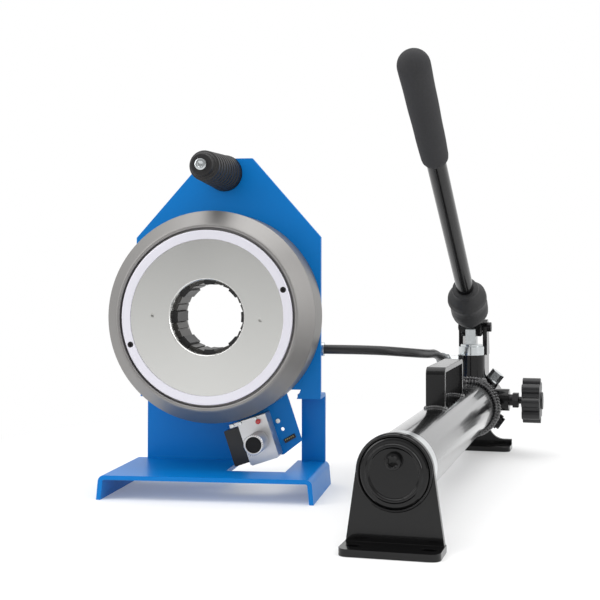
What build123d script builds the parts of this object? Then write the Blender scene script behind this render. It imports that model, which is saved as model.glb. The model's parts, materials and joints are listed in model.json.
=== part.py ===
from build123d import *

# Hose crimping machine: an eight-die ring-piston crimping head on a bent steel stand,
# worked through a hydraulic hose by a single-lever hand pump.
#
# Frame: +Z up, the floor at Z = 0, the origin under the middle of the whole set.
# The crimping bore points along Y and opens towards -Y. The pump lies beside the stand,
# its tank turned by pump_yaw from +Y. All lengths are in millimetres.

import os
from math import cos, pi, radians, sin, tan

os.makedirs("parts", exist_ok=True)

# ---------------------------------------------------------------- driving dimensions
# Places of the two halves on the floor
crimper_x = -133.59
crimper_y = -105.83
pump_x = 98.51
pump_y = -284.53
pump_yaw = 6.65

# Clearances
slide_gap = 0.3
barrel_gap = 2.0
running_gap = 0.05
tiny = 0.01

# Stand: one bent sheet with two legs, and the back plate
sheet = 5.0
bend_radius = 7.0
base_width = 250.0
base_depth = 121.6
base_height = 27.7
flange_splay = 2.4
notch_left = 14.3
notch_right = 84.0
notch_front = 43.8
left_leg_inset = 4.1
right_leg_right = 118.5
right_leg_width = 29.0
shelf_top = 112.0
plate_thickness = 6.0
plate_front = 83.7
plate_side = 3.9
plate_top = 395.4
plate_top_width = 59.0
plate_top_centre = 5.3
shoulder_height = 300.0
plate_waist = 118.0
foot_corner = 14.0

# Crimping head, turned about the crimp axis
axis_offset = -2.1
crimp_height = 206.3
barrel_radius = 103.0
shoulder_width = 20.1
rim_inset = 15.4
rim_front = 15.0
cone_end = 35.0
rim_groove = 2.3
rim_groove_depth = 6.0
face_ring_inset = 3.0
face_ring_width = 10.5
face_ring_depth = 14.0
ring_lip = 2.2
ring_lip_depth = 9.0
cover_recess = 1.0
throat_radius = 42.8
cover_dimple_radius = 2.4
cover_dimple_circle = 63.0
plug_inset = 5.5
plug_angle = 19.5
plug_radius = 3.4
plug_proud = 0.4
barrel_wall = 11.0
rear_cover_thickness = 10.0
hub_radius = 53.0
hub_bore = 45.0

# Dies, their cage and the wedge in the ring piston
die_count = 8
die_width = 17.6
die_length = 40.0
die_face_radius = 38.6
die_root_front = 80.0
wedge_slope = 0.4
piston_travel = 25.0
cage_inner = 37.5
cage_outer = 52.0
cage_ring_length = 7.0
piston_wedge_length = 40.0
piston_skirt_length = 14.0
piston_rear_gap = 1.0
wedge_gap = 0.3
seal_width = 4.0
seal_depth = 3.0
die_slot_width = 2.2
die_slot_depth = 1.6

# Head fasteners
head_bolt_outset = 10.0
head_bolt_count = 4
head_bolt_radius = 4.0
head_bolt_grip = 14.0
cover_screw_count = 8
cover_screw_turn = 0.0
cover_screw_radius = 2.5
cover_screw_head = 4.5
cover_screw_length = 14.0
hole_spare = 1.0

# Carrying grip on the stand
grip_height = 377.5
grip_offset = 0.5
grip_length = 100.0
grip_nose_radius = 14.6
grip_root_radius = 22.4
grip_rod_radius = 5.0
grip_rib_count = 8
grip_rib_depth = 1.6
grip_nose_plain = 20.0
grip_root_plain = 10.0
grip_bolt_reach = 9.0
grip_head_height = 4.0
grip_head_radius = 7.0

# Control unit on the head, tilted about the crimp axis
control_tilt = 18.5
bracket_sheet = 3.0
bracket_left = -22.0
bracket_right = 46.0
bracket_gap = 6.0
bracket_outer = 181.0
bracket_corner = 9.0
bracket_slant = 26.0
bracket_left_corner = 6.0
bracket_hole_in = 18.0
bracket_hole_out = 152.0
bracket_hole_radius = 2.2
connector_in = 13.0
connector_out = 165.0
connector_length = 15.0
connector_width = 5.0
connector_turn = 12.0
connector_front = 1.5
connector_rear = 8.0
stop_screw_in = 20.0
stop_screw_out = 141.0
stop_screw_radius = 2.8
block_left = -16.0
block_right = 19.5
block_inner = 126.5
block_outer = 180.0
block_depth = 23.7
block_cap_left = -26.0
block_cap_height = 4.5
switch_left = -36.0
switch_inner = 132.0
switch_outer = 175.5
switch_depth = 19.0
dial_across = 3.0
dial_out = 155.0
dial_radius = 11.6
dial_length = 30.0
dial_gap = 0.5
dial_face_radius = 9.4
dial_face_thickness = 0.8
dial_knurls = 36
spindle_radius = 4.0
spindle_length = 14.0
lamp_radius = 3.0
lamp_length = 4.0
lamp_across = 9.0
lamp_out = 130.5

# Pump: feet, tank and carrying handle, along the tank axis
tank_height = 71.5
tank_radius = 33.8
tank_wall = 3.0
foot_thickness = 7.0
foot_half_width = 47.5
foot_arch_radius = 37.0
foot_flange = 30.0
foot_corner_radius = 9.0
foot_slot_length = 14.0
foot_slot_width = 8.0
foot_slot_spacing = 70.0
cap_radius = 33.0
cap_depth = 3.0
cap_ring_radius = 27.0
cap_ring_height = 1.5
filler_height = 11.6
filler_radius = 8.0
filler_length = 6.0
collar_radius = 34.6
collar_length = 26.0
handle_start = 218.0
handle_end = 356.0
handle_top = 150.0
handle_width = 22.0
handle_bar = 6.0

# Pump block
block_start = 500.0
block_end = 594.0
pump_block_radius = 37.0
weld_radius = 41.5
weld_width = 12.0
tower_front = 512.0
tower_rear = 556.0
tower_radius = 19.0
tower_top = 143.0
rear_foot_stem = 14.0
rear_foot_fillet = 22.0
rear_bolt_radius = 4.0
rear_bolt_drop = 8.0
rear_bolt_pitch = 18.0
rear_bolt_reach = 12.0

# Pump piston, lever and fulcrum
piston_radius = 15.0
gland_radius = 17.5
gland_height = 12.0
piston_top = 158.0
piston_bottom = 118.0
piston_bore_bottom = 107.0
tongue_half = 7.0
eye_height = 178.0
pin_radius = 5.0
cheek_root = 4.0
cheek_root_radius = 8.0
lever_arm = 25.0
lever_lean = 57.0
lever_up = 37.0
lever_down = 23.0
arm_angle = -7.0
cheek_gap = 0.5
cheek_thickness = 6.0
ear_thickness = 6.0
ear_radius = 11.0
socket_start = 38.0
socket_length = 50.0
socket_radius = 16.0
tube_radius = 11.4
tube_start = 40.0
tube_length = 490.0
foam_length = 170.0
foam_cover = 15.0
foam_radius = 16.0
foam_top_radius = 17.6
boot_start = 42.0
boot_end = 104.0
boot_mouth_radius = 24.0
boot_bulge_radius = 28.0
boot_waist_radius = 26.0
boot_collar_radius = 16.5

# Release valve, relief plug and outlet
valve_station = 540.0
valve_height = 78.0
valve_boss_radius = 15.5
valve_boss_end = 50.0
valve_nut_start = 55.0
valve_nut_width = 8.0
valve_nut_size = 20.0
valve_stem_radius = 5.0
valve_stem_start = 30.0
valve_neck_radius = 8.0
valve_neck_depth = 8.0
knob_start = 69.0
knob_length = 25.0
knob_radius = 28.0
knob_lobes = 8
knob_lobe_radius = 7.0
knob_hub_radius = 12.0
relief_angle = 52.0
relief_station = 530.0
relief_size = 17.0
relief_height = 12.0
relief_boss_radius = 10.5
relief_boss_out = 44.0
drain_angle = -36.0
drain_boss_radius = 11.0
outlet_station = 522.0
outlet_height = 131.0
outlet_tilt = 12.0
outlet_nut_size = 19.0
outlet_nut_length = 12.0
outlet_ball_radius = 9.0
outlet_turn_length = 10.0

# Hose
hose_radius = 5.6
hose_lead = 56.0
ferrule_radius = 8.5
ferrule_length = 22.0
head_ferrule_length = 10.0
port_angle = -21.6
port_bore = 4.0
port_nut_size = 19.0
port_nut_length = 5.0
port_ball_radius = 8.0
port_ball_offset = 4.0
port_turn_length = 8.0
port_wall_gap = 1.2

# ---------------------------------------------------------------- derived sizes and frames
bore_radius = barrel_radius - barrel_wall
head_radius = barrel_radius + shoulder_width
rim_radius = head_radius - rim_inset
face_ring_radius = barrel_radius - face_ring_inset
face_ring_inner = face_ring_radius - face_ring_width
plug_circle = face_ring_radius - plug_inset
head_bolt_circle = barrel_radius + head_bolt_outset
cover_screw_circle = (bore_radius + barrel_radius) / 2
bracket_inner = barrel_radius + bracket_gap
plate_left = axis_offset - barrel_radius - plate_side
left_leg_left = plate_left + left_leg_inset
tube_end = tube_start + tube_length
foam_end = tube_end + foam_cover
foam_start = foam_end - foam_length
leg_rear = base_depth
leg_front = leg_rear - sheet
axis_x = crimper_x + axis_offset
axis_origin = (axis_x, crimper_y, crimp_height)
crimp_axis = Axis(axis_origin, (0, 1, 0))
plate_rear = plate_front + plate_thickness

cover_front = rim_front + cover_recess
cover_rear = rim_front + face_ring_depth - tiny
die_front = cover_rear + slide_gap
die_rear = die_front + die_length
die_pitch = 360 / die_count
cage_ring_front = die_rear + slide_gap
hub_front = cage_ring_front + cage_ring_length
piston_front = cover_rear + slide_gap + piston_travel
wedge_end = piston_front + piston_wedge_length
piston_rear = wedge_end + piston_skirt_length
barrel_end = piston_rear + piston_rear_gap
rear_cover_end = barrel_end + rear_cover_thickness
port_station = plate_rear + port_nut_size / 3 ** 0.5 + port_wall_gap

along = Vector(sin(radians(pump_yaw)), cos(radians(pump_yaw)), 0)
across = Vector(cos(radians(pump_yaw)), -sin(radians(pump_yaw)), 0)
up = Vector(0, 0, 1)
pump_origin = Vector(pump_x, pump_y, 0)


def stand_front(y):
    """A plane facing the front at depth y: local x is X, local y is height."""
    return Plane(origin=(crimper_x, crimper_y + y, 0), x_dir=(1, 0, 0), z_dir=(0, -1, 0))


def stand_top(z):
    """A level plane over the stand: local x is X, local y is depth."""
    return Plane(origin=(crimper_x, crimper_y, z), x_dir=(1, 0, 0), z_dir=(0, 0, 1))


def stand_side(x):
    """An upright plane across the stand: local x is depth, local y is height."""
    return Plane(origin=(crimper_x + x, crimper_y, 0), x_dir=(0, 1, 0), z_dir=(1, 0, 0))


def head_front(y):
    """A plane facing the front at depth y, centred on the crimp axis."""
    return Plane(origin=(axis_x, crimper_y + y, crimp_height), x_dir=(1, 0, 0), z_dir=(0, -1, 0))


head_profile = Plane(origin=axis_origin, x_dir=(0, 1, 0), z_dir=(1, 0, 0))


def radial_plane(angle):
    """A plane through the crimp axis: local x is depth, local y is the radius at an angle."""
    outward = (cos(radians(angle)), 0, sin(radians(angle)))
    normal = Vector(0, 1, 0).cross(Vector(*outward))
    return Plane(origin=axis_origin, x_dir=(0, 1, 0), z_dir=normal)


def control_front(y):
    """A plane facing the front at depth y, turned with the control unit: -y is outwards."""
    turn = radians(control_tilt)
    centre = (axis_x, crimper_y + y, crimp_height)
    return Plane(origin=centre, x_dir=(cos(turn), 0, sin(turn)), z_dir=(0, -1, 0))


def pump_point(s, n, z):
    """The place s along the tank, n to its right and z above the floor."""
    return pump_origin + along * s + across * n + up * z


def pump_side(n):
    """An upright plane along the tank: local x is along it, local y is height."""
    return Plane(origin=pump_point(0, n, 0), x_dir=along, z_dir=across)


def pump_front(s):
    """A plane across the tank facing the front foot: local x is to the right, local y is up."""
    return Plane(origin=pump_point(s, 0, 0), x_dir=across, z_dir=-along)


def pump_top(z):
    """A level plane over the pump: local x is to the right, local y is along the tank."""
    return Plane(origin=pump_point(0, 0, z), x_dir=across, z_dir=up)


tank_profile = Plane(origin=pump_point(0, 0, tank_height), x_dir=along, z_dir=across)
tank_axis = Axis(pump_point(0, 0, tank_height), along)


def save(part, label):
    """Name a finished piece and write its STEP file."""
    part.label = label
    export_step(part, f"parts/{label}.step")


# ---------------------------------------------------------------- stand
half_base = base_width / 2
top_half = half_base - flange_splay
leg_spans = ((left_leg_left, notch_left), (right_leg_right - right_leg_width, right_leg_right))
with BuildPart() as base_frame:
    # The base: a channel with splayed flanges
    with BuildSketch(stand_front(0)) as channel:
        with BuildLine():
            Polyline((-half_base, 0), (-top_half, base_height), (top_half, base_height),
                     (half_base, 0), close=True)
        make_face()
        fillet(channel.vertices().group_by(Axis.Y)[-1], bend_radius)
    extrude(amount=-base_depth)
    with BuildSketch(stand_front(0)) as hollow:
        with BuildLine():
            Polyline((-half_base + sheet, 0), (-top_half + sheet, base_height - sheet),
                     (top_half - sheet, base_height - sheet), (half_base - sheet, 0), close=True)
        make_face()
        fillet(hollow.vertices().group_by(Axis.Y)[-1], bend_radius - sheet)
    extrude(amount=-base_depth, mode=Mode.SUBTRACT)
    # The notch under the control unit
    with BuildSketch(stand_top(0)):
        with Locations(((notch_left + notch_right) / 2, (notch_front + base_depth + sheet) / 2)):
            Rectangle(notch_right - notch_left, base_depth + sheet - notch_front)
    extrude(amount=base_height + sheet, mode=Mode.SUBTRACT)
    # Two legs bent up from the rear edge and forward into the shelf
    for left, right in leg_spans:
        with BuildSketch(stand_side(left)) as leg:
            with BuildLine():
                Polyline((leg_rear, base_height - sheet), (leg_rear, shelf_top),
                         (plate_rear, shelf_top), (plate_rear, shelf_top - sheet),
                         (leg_front, shelf_top - sheet), (leg_front, base_height - sheet),
                         close=True)
            make_face()
            fillet(leg.vertices().sort_by_distance((leg_rear, shelf_top))[0], bend_radius)
            fillet(leg.vertices().sort_by_distance((leg_front, shelf_top - sheet))[0],
                   bend_radius - sheet)
        extrude(amount=right - left)
    # Round relief in the shelves and legs for the head's barrel
    with BuildSketch(head_front(plate_rear)):
        Circle(barrel_radius + barrel_gap)
    extrude(amount=-base_depth, mode=Mode.SUBTRACT)
save(base_frame.part, "base_frame")

with BuildPart() as back_plate:
    # House-shaped plate with two tongues standing on the shelves
    with BuildSketch(stand_front(plate_front)) as house:
        peak_left = plate_top_centre - plate_top_width / 2
        peak_right = plate_top_centre + plate_top_width / 2
        foot_bottom = shelf_top - sheet
        right_foot = right_leg_right - right_leg_width
        with BuildLine():
            Polyline((plate_left + foot_corner, foot_bottom), (plate_left, foot_bottom + foot_corner),
                     (plate_left, shoulder_height), (peak_left, plate_top), (peak_right, plate_top),
                     (right_leg_right, shoulder_height), (right_leg_right, foot_bottom),
                     (right_foot, foot_bottom), (right_foot + sheet, plate_waist),
                     (notch_left, plate_waist), (notch_left, foot_bottom), close=True)
        make_face()
        with Locations((axis_offset, crimp_height)):
            Circle(barrel_radius + tiny, mode=Mode.SUBTRACT)
        with Locations((axis_offset, crimp_height)):
            with PolarLocations(head_bolt_circle, head_bolt_count, start_angle=45):
                Circle(head_bolt_radius + slide_gap, mode=Mode.SUBTRACT)
        with Locations((grip_offset, grip_height)):
            Circle(grip_rod_radius + slide_gap, mode=Mode.SUBTRACT)
    extrude(amount=-plate_thickness)
save(back_plate.part, "back_plate")

# ---------------------------------------------------------------- crimping head
groove_outer = face_ring_radius + rim_groove
with BuildPart() as head_housing:
    # Turned shell: rim, cone, shoulder and rear barrel, open right through
    with BuildSketch(head_profile):
        with BuildLine():
            Polyline((rim_front, groove_outer), (rim_front, rim_radius - 1.5),
                     (rim_front + 1.5, rim_radius), (cone_end - 1, head_radius),
                     (cone_end, head_radius - 0.6), (plate_front, head_radius - 0.6),
                     (plate_front, barrel_radius), (barrel_end, barrel_radius),
                     (barrel_end, bore_radius), (rim_front + face_ring_depth, bore_radius),
                     (rim_front + face_ring_depth, face_ring_radius),
                     (rim_front + rim_groove_depth, face_ring_radius),
                     (rim_front + rim_groove_depth, groove_outer), close=True)
        make_face()
    revolve(axis=crimp_axis)
    # Tapped holes for the head bolts, from the shoulder
    with BuildSketch(head_front(plate_front)):
        with PolarLocations(head_bolt_circle, head_bolt_count, start_angle=45):
            Circle(head_bolt_radius)
    extrude(amount=head_bolt_grip, mode=Mode.SUBTRACT)
    # Tapped holes for the rear cover screws
    with BuildSketch(head_front(barrel_end)):
        with PolarLocations(cover_screw_circle, cover_screw_count, start_angle=cover_screw_turn):
            Circle(cover_screw_radius)
    extrude(amount=cover_screw_length, mode=Mode.SUBTRACT)
    # Oil port through the barrel
    with BuildSketch(radial_plane(port_angle)) as port_cut:
        with BuildLine():
            Polyline((port_station, bore_radius - 2), (port_station, barrel_radius + 2),
                     (port_station + port_bore, barrel_radius + 2),
                     (port_station + port_bore, bore_radius - 2), close=True)
        make_face()
    port_direction = (cos(radians(port_angle)), 0, sin(radians(port_angle)))
    port_axis = Axis((axis_x, crimper_y + port_station, crimp_height), port_direction)
    revolve(axis=port_axis, mode=Mode.SUBTRACT)
save(head_housing.part, "head_housing")

lip_radius = face_ring_inner + ring_lip
with BuildPart() as face_ring:
    # Retaining ring with a lip over the front cover
    with BuildSketch(head_profile):
        with BuildLine():
            Polyline((rim_front, face_ring_inner), (rim_front, face_ring_radius - 1),
                     (rim_front + 1, face_ring_radius), (cover_rear, face_ring_radius),
                     (cover_rear, lip_radius), (rim_front + ring_lip_depth, lip_radius),
                     (rim_front + ring_lip_depth, face_ring_inner), close=True)
        make_face()
    revolve(axis=crimp_axis)
    with BuildSketch(head_front(rim_front)):
        with PolarLocations(plug_circle, 2, start_angle=plug_angle):
            Circle(plug_radius)
    extrude(amount=-ring_lip_depth / 2, mode=Mode.SUBTRACT)
save(face_ring.part, "face_ring")

with BuildPart() as ring_plugs:
    # Two locking screws with hexagon sockets
    with BuildSketch(head_front(rim_front + plug_proud)):
        with PolarLocations(plug_circle, 2, start_angle=plug_angle):
            Circle(plug_radius)
    extrude(amount=-(ring_lip_depth / 2 - plug_proud))
    with BuildSketch(head_front(rim_front + plug_proud)):
        with PolarLocations(plug_circle, 2, start_angle=plug_angle):
            RegularPolygon(plug_radius * 0.5, 6)
    extrude(amount=-ring_lip_depth / 4, mode=Mode.SUBTRACT)
save(ring_plugs.part, "ring_plugs")

with BuildPart() as front_cover:
    # Stepped disc that closes the head in front of the dies
    with BuildSketch(head_profile):
        with BuildLine():
            Polyline((cover_front, throat_radius + 1.5), (cover_front, face_ring_inner),
                     (rim_front + ring_lip_depth, face_ring_inner),
                     (rim_front + ring_lip_depth, lip_radius), (cover_rear, lip_radius),
                     (cover_rear, throat_radius), (cover_front + 1.5, throat_radius), close=True)
        make_face()
    revolve(axis=crimp_axis)
    with BuildSketch(head_front(cover_front)):
        with PolarLocations(cover_dimple_circle, 2, start_angle=-2.3):
            Circle(cover_dimple_radius)
    extrude(amount=-ring_lip_depth / 2, mode=Mode.SUBTRACT)
save(front_cover.part, "front_cover")

with BuildPart() as guide_cage:
    # Bars between the dies, joined by a ring behind them
    with BuildSketch(head_front(hub_front)):
        Circle(cage_outer)
        Circle(hub_bore, mode=Mode.SUBTRACT)
    extrude(amount=cage_ring_length)
    with BuildSketch(head_front(cage_ring_front)):
        Circle(cage_outer)
        Circle(cage_inner, mode=Mode.SUBTRACT)
        with PolarLocations(0, die_count, start_angle=die_pitch / 2):
            with Locations((cage_outer, 0)):
                Rectangle(cage_outer * 2, die_width + 2 * slide_gap, mode=Mode.SUBTRACT)
    extrude(amount=cage_ring_front - cover_rear)
save(guide_cage.part, "guide_cage")


def wedge_radius(y, rest_gap=0.0):
    """Height of the wedge faces over the crimp axis at depth y, with the dies open."""
    return die_root_front - wedge_slope * (y - die_front) + rest_gap


die_angles = [die_pitch / 2 + die_pitch * index for index in range(die_count)]
for index, angle in enumerate(die_angles, start=1):
    with BuildPart() as die:
        # Wedge-backed jaw with a slot for the pin that holds an insert
        with BuildSketch(radial_plane(angle)):
            with BuildLine():
                Polyline((die_front, die_face_radius), (die_front, wedge_radius(die_front)),
                         (die_rear, wedge_radius(die_rear)), (die_rear, die_face_radius),
                         close=True)
            make_face()
        extrude(amount=die_width / 2, both=True)
        with BuildSketch(radial_plane(angle)):
            with BuildLine():
                Polyline((die_front, die_face_radius), (die_rear, die_face_radius),
                         (die_rear, die_face_radius + die_slot_depth),
                         (die_front, die_face_radius + die_slot_depth), close=True)
            make_face()
        extrude(amount=die_slot_width / 2, both=True, mode=Mode.SUBTRACT)
    save(die.part, f"die_{index}")

ring_outer = bore_radius - running_gap
front_apothem = wedge_radius(piston_front, wedge_gap)
rear_apothem = wedge_radius(wedge_end, wedge_gap)
seal_stations = (piston_front + piston_wedge_length / 2, piston_rear - 4 * seal_width)
with BuildPart() as ring_piston:
    # Annular piston: cylinder outside, eight wedge faces inside, plain skirt behind
    with BuildSketch(head_front(piston_front)):
        Circle(ring_outer)
    extrude(amount=-(piston_rear - piston_front))
    with BuildSketch(head_front(piston_front)):
        RegularPolygon(front_apothem, die_count, rotation=die_pitch / 2, major_radius=False)
    with BuildSketch(head_front(wedge_end)):
        RegularPolygon(rear_apothem, die_count, rotation=die_pitch / 2, major_radius=False)
    loft(mode=Mode.SUBTRACT)
    with BuildSketch(head_front(piston_rear)):
        Circle(hub_radius + running_gap)
    extrude(amount=piston_skirt_length, mode=Mode.SUBTRACT)
    with BuildSketch(head_profile):
        for station in seal_stations:
            with Locations((station, ring_outer - seal_depth / 2 + 0.5)):
                Rectangle(seal_width, seal_depth + 1)
    revolve(axis=crimp_axis, mode=Mode.SUBTRACT)
save(ring_piston.part, "ring_piston")

with BuildPart() as piston_seals:
    # Two sealing rings in the piston's grooves
    with BuildSketch(head_profile):
        for station in seal_stations:
            with Locations((station, ring_outer - seal_depth / 2)):
                Rectangle(seal_width, seal_depth)
    revolve(axis=crimp_axis)
save(piston_seals.part, "piston_seals")

with BuildPart() as rear_cover:
    # Rear disc with the hub that the piston's skirt slides on
    with BuildSketch(head_profile):
        with BuildLine():
            Polyline((hub_front, hub_bore), (hub_front, hub_radius), (barrel_end, hub_radius),
                     (barrel_end, barrel_radius), (rear_cover_end - 2, barrel_radius),
                     (rear_cover_end, barrel_radius - 2), (rear_cover_end, hub_bore), close=True)
        make_face()
    revolve(axis=crimp_axis)
    with BuildSketch(head_front(rear_cover_end)):
        with PolarLocations(cover_screw_circle, cover_screw_count, start_angle=cover_screw_turn):
            Circle(cover_screw_radius)
    extrude(amount=rear_cover_thickness, mode=Mode.SUBTRACT)
save(rear_cover.part, "rear_cover")

with BuildPart() as rear_cover_screws:
    # Socket-head screws through the rear cover
    with BuildSketch(head_front(rear_cover_end)):
        with PolarLocations(cover_screw_circle, cover_screw_count, start_angle=cover_screw_turn):
            Circle(cover_screw_radius)
    extrude(amount=rear_cover_thickness + cover_screw_length - hole_spare)
    with BuildSketch(head_front(rear_cover_end)):
        with PolarLocations(cover_screw_circle, cover_screw_count, start_angle=cover_screw_turn):
            Circle(cover_screw_head)
            RegularPolygon(cover_screw_radius, 6, mode=Mode.SUBTRACT)
    extrude(amount=-cover_screw_head)
save(rear_cover_screws.part, "rear_cover_screws")

with BuildPart() as head_bolts:
    # Hexagon bolts that clamp the back plate to the head's shoulder
    with BuildSketch(head_front(plate_rear)):
        with PolarLocations(head_bolt_circle, head_bolt_count, start_angle=45):
            Circle(head_bolt_radius)
    extrude(amount=plate_thickness + head_bolt_grip - hole_spare)
    with BuildSketch(head_front(plate_rear)):
        with PolarLocations(head_bolt_circle, head_bolt_count, start_angle=45):
            RegularPolygon(head_bolt_radius * 1.85, 6)
    extrude(amount=-head_bolt_radius * 1.4)
save(head_bolts.part, "head_bolts")

# ---------------------------------------------------------------- carrying grip
grip_front = plate_front - grip_length
grip_profile = Plane(origin=(crimper_x + grip_offset, crimper_y, grip_height),
                     x_dir=(0, 1, 0), z_dir=(1, 0, 0))
grip_axis = Axis((crimper_x + grip_offset, crimper_y, grip_height), (0, 1, 0))
grip_slope = (grip_root_radius - grip_nose_radius) / grip_length


def grip_radius(y):
    """Outer radius of the tapering grip at depth y."""
    return grip_nose_radius + grip_slope * (y - grip_front)


with BuildPart() as carry_grip:
    # Ribbed rubber sleeve, wider at the plate
    with BuildSketch(grip_profile):
        with BuildLine():
            Polyline((grip_front, grip_rod_radius), (grip_front, grip_nose_radius - 3),
                     (grip_front + 3, grip_nose_radius), (plate_front, grip_root_radius),
                     (plate_front, grip_rod_radius), close=True)
        make_face()
        rib_pitch = (grip_length - grip_nose_plain - grip_root_plain) / grip_rib_count
        for rib in range(grip_rib_count):
            station = grip_front + grip_nose_plain + rib * rib_pitch
            with Locations((station, grip_radius(station))):
                Rectangle(rib_pitch * 0.4, grip_rib_depth * 2, mode=Mode.SUBTRACT)
    revolve(axis=grip_axis)
save(carry_grip.part, "carry_grip")

bolt_front = grip_front - grip_head_height
bolt_rear = plate_rear + grip_bolt_reach
with BuildPart() as grip_bolt:
    # Through bolt with its nut behind the plate
    with BuildSketch(grip_profile):
        with BuildLine():
            Polyline((bolt_front, 0), (bolt_front, grip_head_radius - 1.5),
                     (bolt_front + 1, grip_head_radius), (grip_front, grip_head_radius),
                     (grip_front, grip_rod_radius), (bolt_rear, grip_rod_radius),
                     (bolt_rear, 0), close=True)
        make_face()
    revolve(axis=grip_axis)
    nut_plane = Plane(origin=(crimper_x + grip_offset, crimper_y + plate_rear, grip_height),
                      x_dir=(1, 0, 0), z_dir=(0, 1, 0))
    with BuildSketch(nut_plane):
        RegularPolygon(grip_rod_radius * 1.8, 6)
    extrude(amount=grip_bolt_reach * 2 / 3)
save(grip_bolt.part, "grip_bolt")

# ---------------------------------------------------------------- control unit
block_front = plate_front - block_depth
with BuildPart() as control_bracket:
    # Flat bracket screwed to the head's shoulder
    with BuildSketch(control_front(plate_front)) as bracket:
        with BuildLine():
            Polyline((bracket_left, -bracket_inner), (bracket_right, -bracket_inner),
                     (bracket_right, -bracket_outer + bracket_corner),
                     (bracket_right - bracket_slant, -bracket_outer),
                     (bracket_left, -bracket_outer + bracket_left_corner), close=True)
        make_face()
        with Locations((0, 0)):
            Circle(barrel_radius + slide_gap, mode=Mode.SUBTRACT)
        with Locations((bracket_right - bracket_hole_in, -bracket_hole_out)):
            Circle(bracket_hole_radius, mode=Mode.SUBTRACT)
        with Locations((bracket_right - connector_in, -connector_out)):
            Rectangle(connector_length, connector_width, rotation=connector_turn, mode=Mode.SUBTRACT)
    extrude(amount=-bracket_sheet)
save(control_bracket.part, "control_bracket")

with BuildPart() as control_connector:
    # Small plug-in connector in the bracket's slot
    with BuildSketch(control_front(plate_front - connector_front)):
        with Locations((bracket_right - connector_in, -connector_out)):
            Rectangle(connector_length, connector_width, rotation=connector_turn)
    extrude(amount=-bracket_sheet - connector_rear)
save(control_connector.part, "control_connector")

with BuildPart() as control_block:
    # Milled block with a cap strip along its inner edge
    with BuildSketch(control_front(block_front)) as block_face:
        with Locations(((block_left + block_right) / 2, -(block_inner + block_outer) / 2)):
            Rectangle(block_right - block_left, block_outer - block_inner)
        chamfer(block_face.vertices().group_by(Axis.Y)[0], 2)
    extrude(amount=-block_depth)
    with BuildSketch(control_front(block_front)):
        with Locations(((block_cap_left + block_right - 6) / 2, -block_inner - block_cap_height / 2)):
            Rectangle(block_right - 6 - block_cap_left, block_cap_height)
    extrude(amount=-block_depth / 2)
    with BuildSketch(control_front(block_front)):
        with Locations((dial_across, -dial_out)):
            Circle(spindle_radius + running_gap)
    extrude(amount=-spindle_length, mode=Mode.SUBTRACT)
save(control_block.part, "control_block")

with BuildPart() as switch_box:
    # Limit switch beside the block
    with BuildSketch(control_front(plate_front - switch_depth)) as switch_face:
        with Locations(((switch_left + block_left) / 2, -(switch_inner + switch_outer) / 2)):
            Rectangle(block_left - switch_left, switch_outer - switch_inner)
        fillet(switch_face.vertices().group_by(Axis.X)[0], 1.5)
    extrude(amount=-switch_depth)
save(switch_box.part, "switch_box")

control_screw_places = [(block_left + 3.5, -block_inner - 2.2), (block_left - 6, -block_inner - 2.2),
                        (block_right - 13, -block_inner - 2.2)]
with BuildPart() as control_screws:
    # Cap screws on the block's strip, the bracket's screws and the stop pin
    with BuildSketch(control_front(block_front)):
        with Locations(*control_screw_places):
            Circle(1.9)
    extrude(amount=1.5)
    with BuildSketch(control_front(plate_front)):
        with Locations((bracket_right - stop_screw_in, -stop_screw_out)):
            Circle(stop_screw_radius)
    extrude(amount=2)
save(control_screws.part, "control_screws")

with BuildPart() as bracket_screws:
    # Two screws that hold the bracket to the head's shoulder
    with BuildSketch(control_front(plate_front + bracket_sheet)):
        with Locations((-9, -head_bolt_circle), (13, -head_bolt_circle)):
            Circle(5)
    extrude(amount=-3)
save(bracket_screws.part, "bracket_screws")

with BuildPart() as indicator_lamp:
    # Round lamp on the block's strip
    with BuildSketch(control_front(block_front)):
        with Locations((lamp_across, -lamp_out - 2.5)):
            Circle(lamp_radius)
    extrude(amount=lamp_length)
    fillet(indicator_lamp.faces().sort_by(Axis.Y)[0].edges(), 1.2)
save(indicator_lamp.part, "indicator_lamp")

dial_rear = block_front - dial_gap
dial_front = dial_rear - dial_length
with BuildPart() as dial_spindle:
    # Spindle that turns in the block
    with BuildSketch(control_front(dial_front + 6)):
        with Locations((dial_across, -dial_out)):
            Circle(spindle_radius)
    extrude(amount=-(dial_length - 6 + dial_gap + spindle_length - 1))
save(dial_spindle.part, "dial_spindle")

with BuildPart() as dial_knob:
    # Graduated drum with a knurled edge and a recessed face
    with BuildSketch(control_front(dial_front)):
        with Locations((dial_across, -dial_out)):
            Circle(dial_radius)
    extrude(amount=-dial_length)
    chamfer(dial_knob.faces().sort_by(Axis.Y)[0].edges(), 0.8)
    with BuildSketch(control_front(dial_front)):
        with Locations((dial_across, -dial_out)):
            Circle(dial_face_radius)
    extrude(amount=-dial_face_thickness * 2, mode=Mode.SUBTRACT)
    with BuildSketch(control_front(dial_front + 6)):
        with Locations((dial_across, -dial_out)):
            Circle(spindle_radius)
    extrude(amount=-dial_length, mode=Mode.SUBTRACT)
    with BuildSketch(control_front(dial_rear)):
        with Locations((dial_across, -dial_out)):
            with PolarLocations(dial_radius, dial_knurls):
                Rectangle(0.8, 0.8, rotation=45)
    extrude(amount=dial_length / 3, mode=Mode.SUBTRACT)
save(dial_knob.part, "dial_knob")

with BuildPart() as dial_face:
    # Blank black disc in the dial's front
    with BuildSketch(control_front(dial_front + dial_face_thickness)):
        with Locations((dial_across, -dial_out)):
            Circle(dial_face_radius - 0.01)
    extrude(amount=-dial_face_thickness)
save(dial_face.part, "dial_face")

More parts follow.
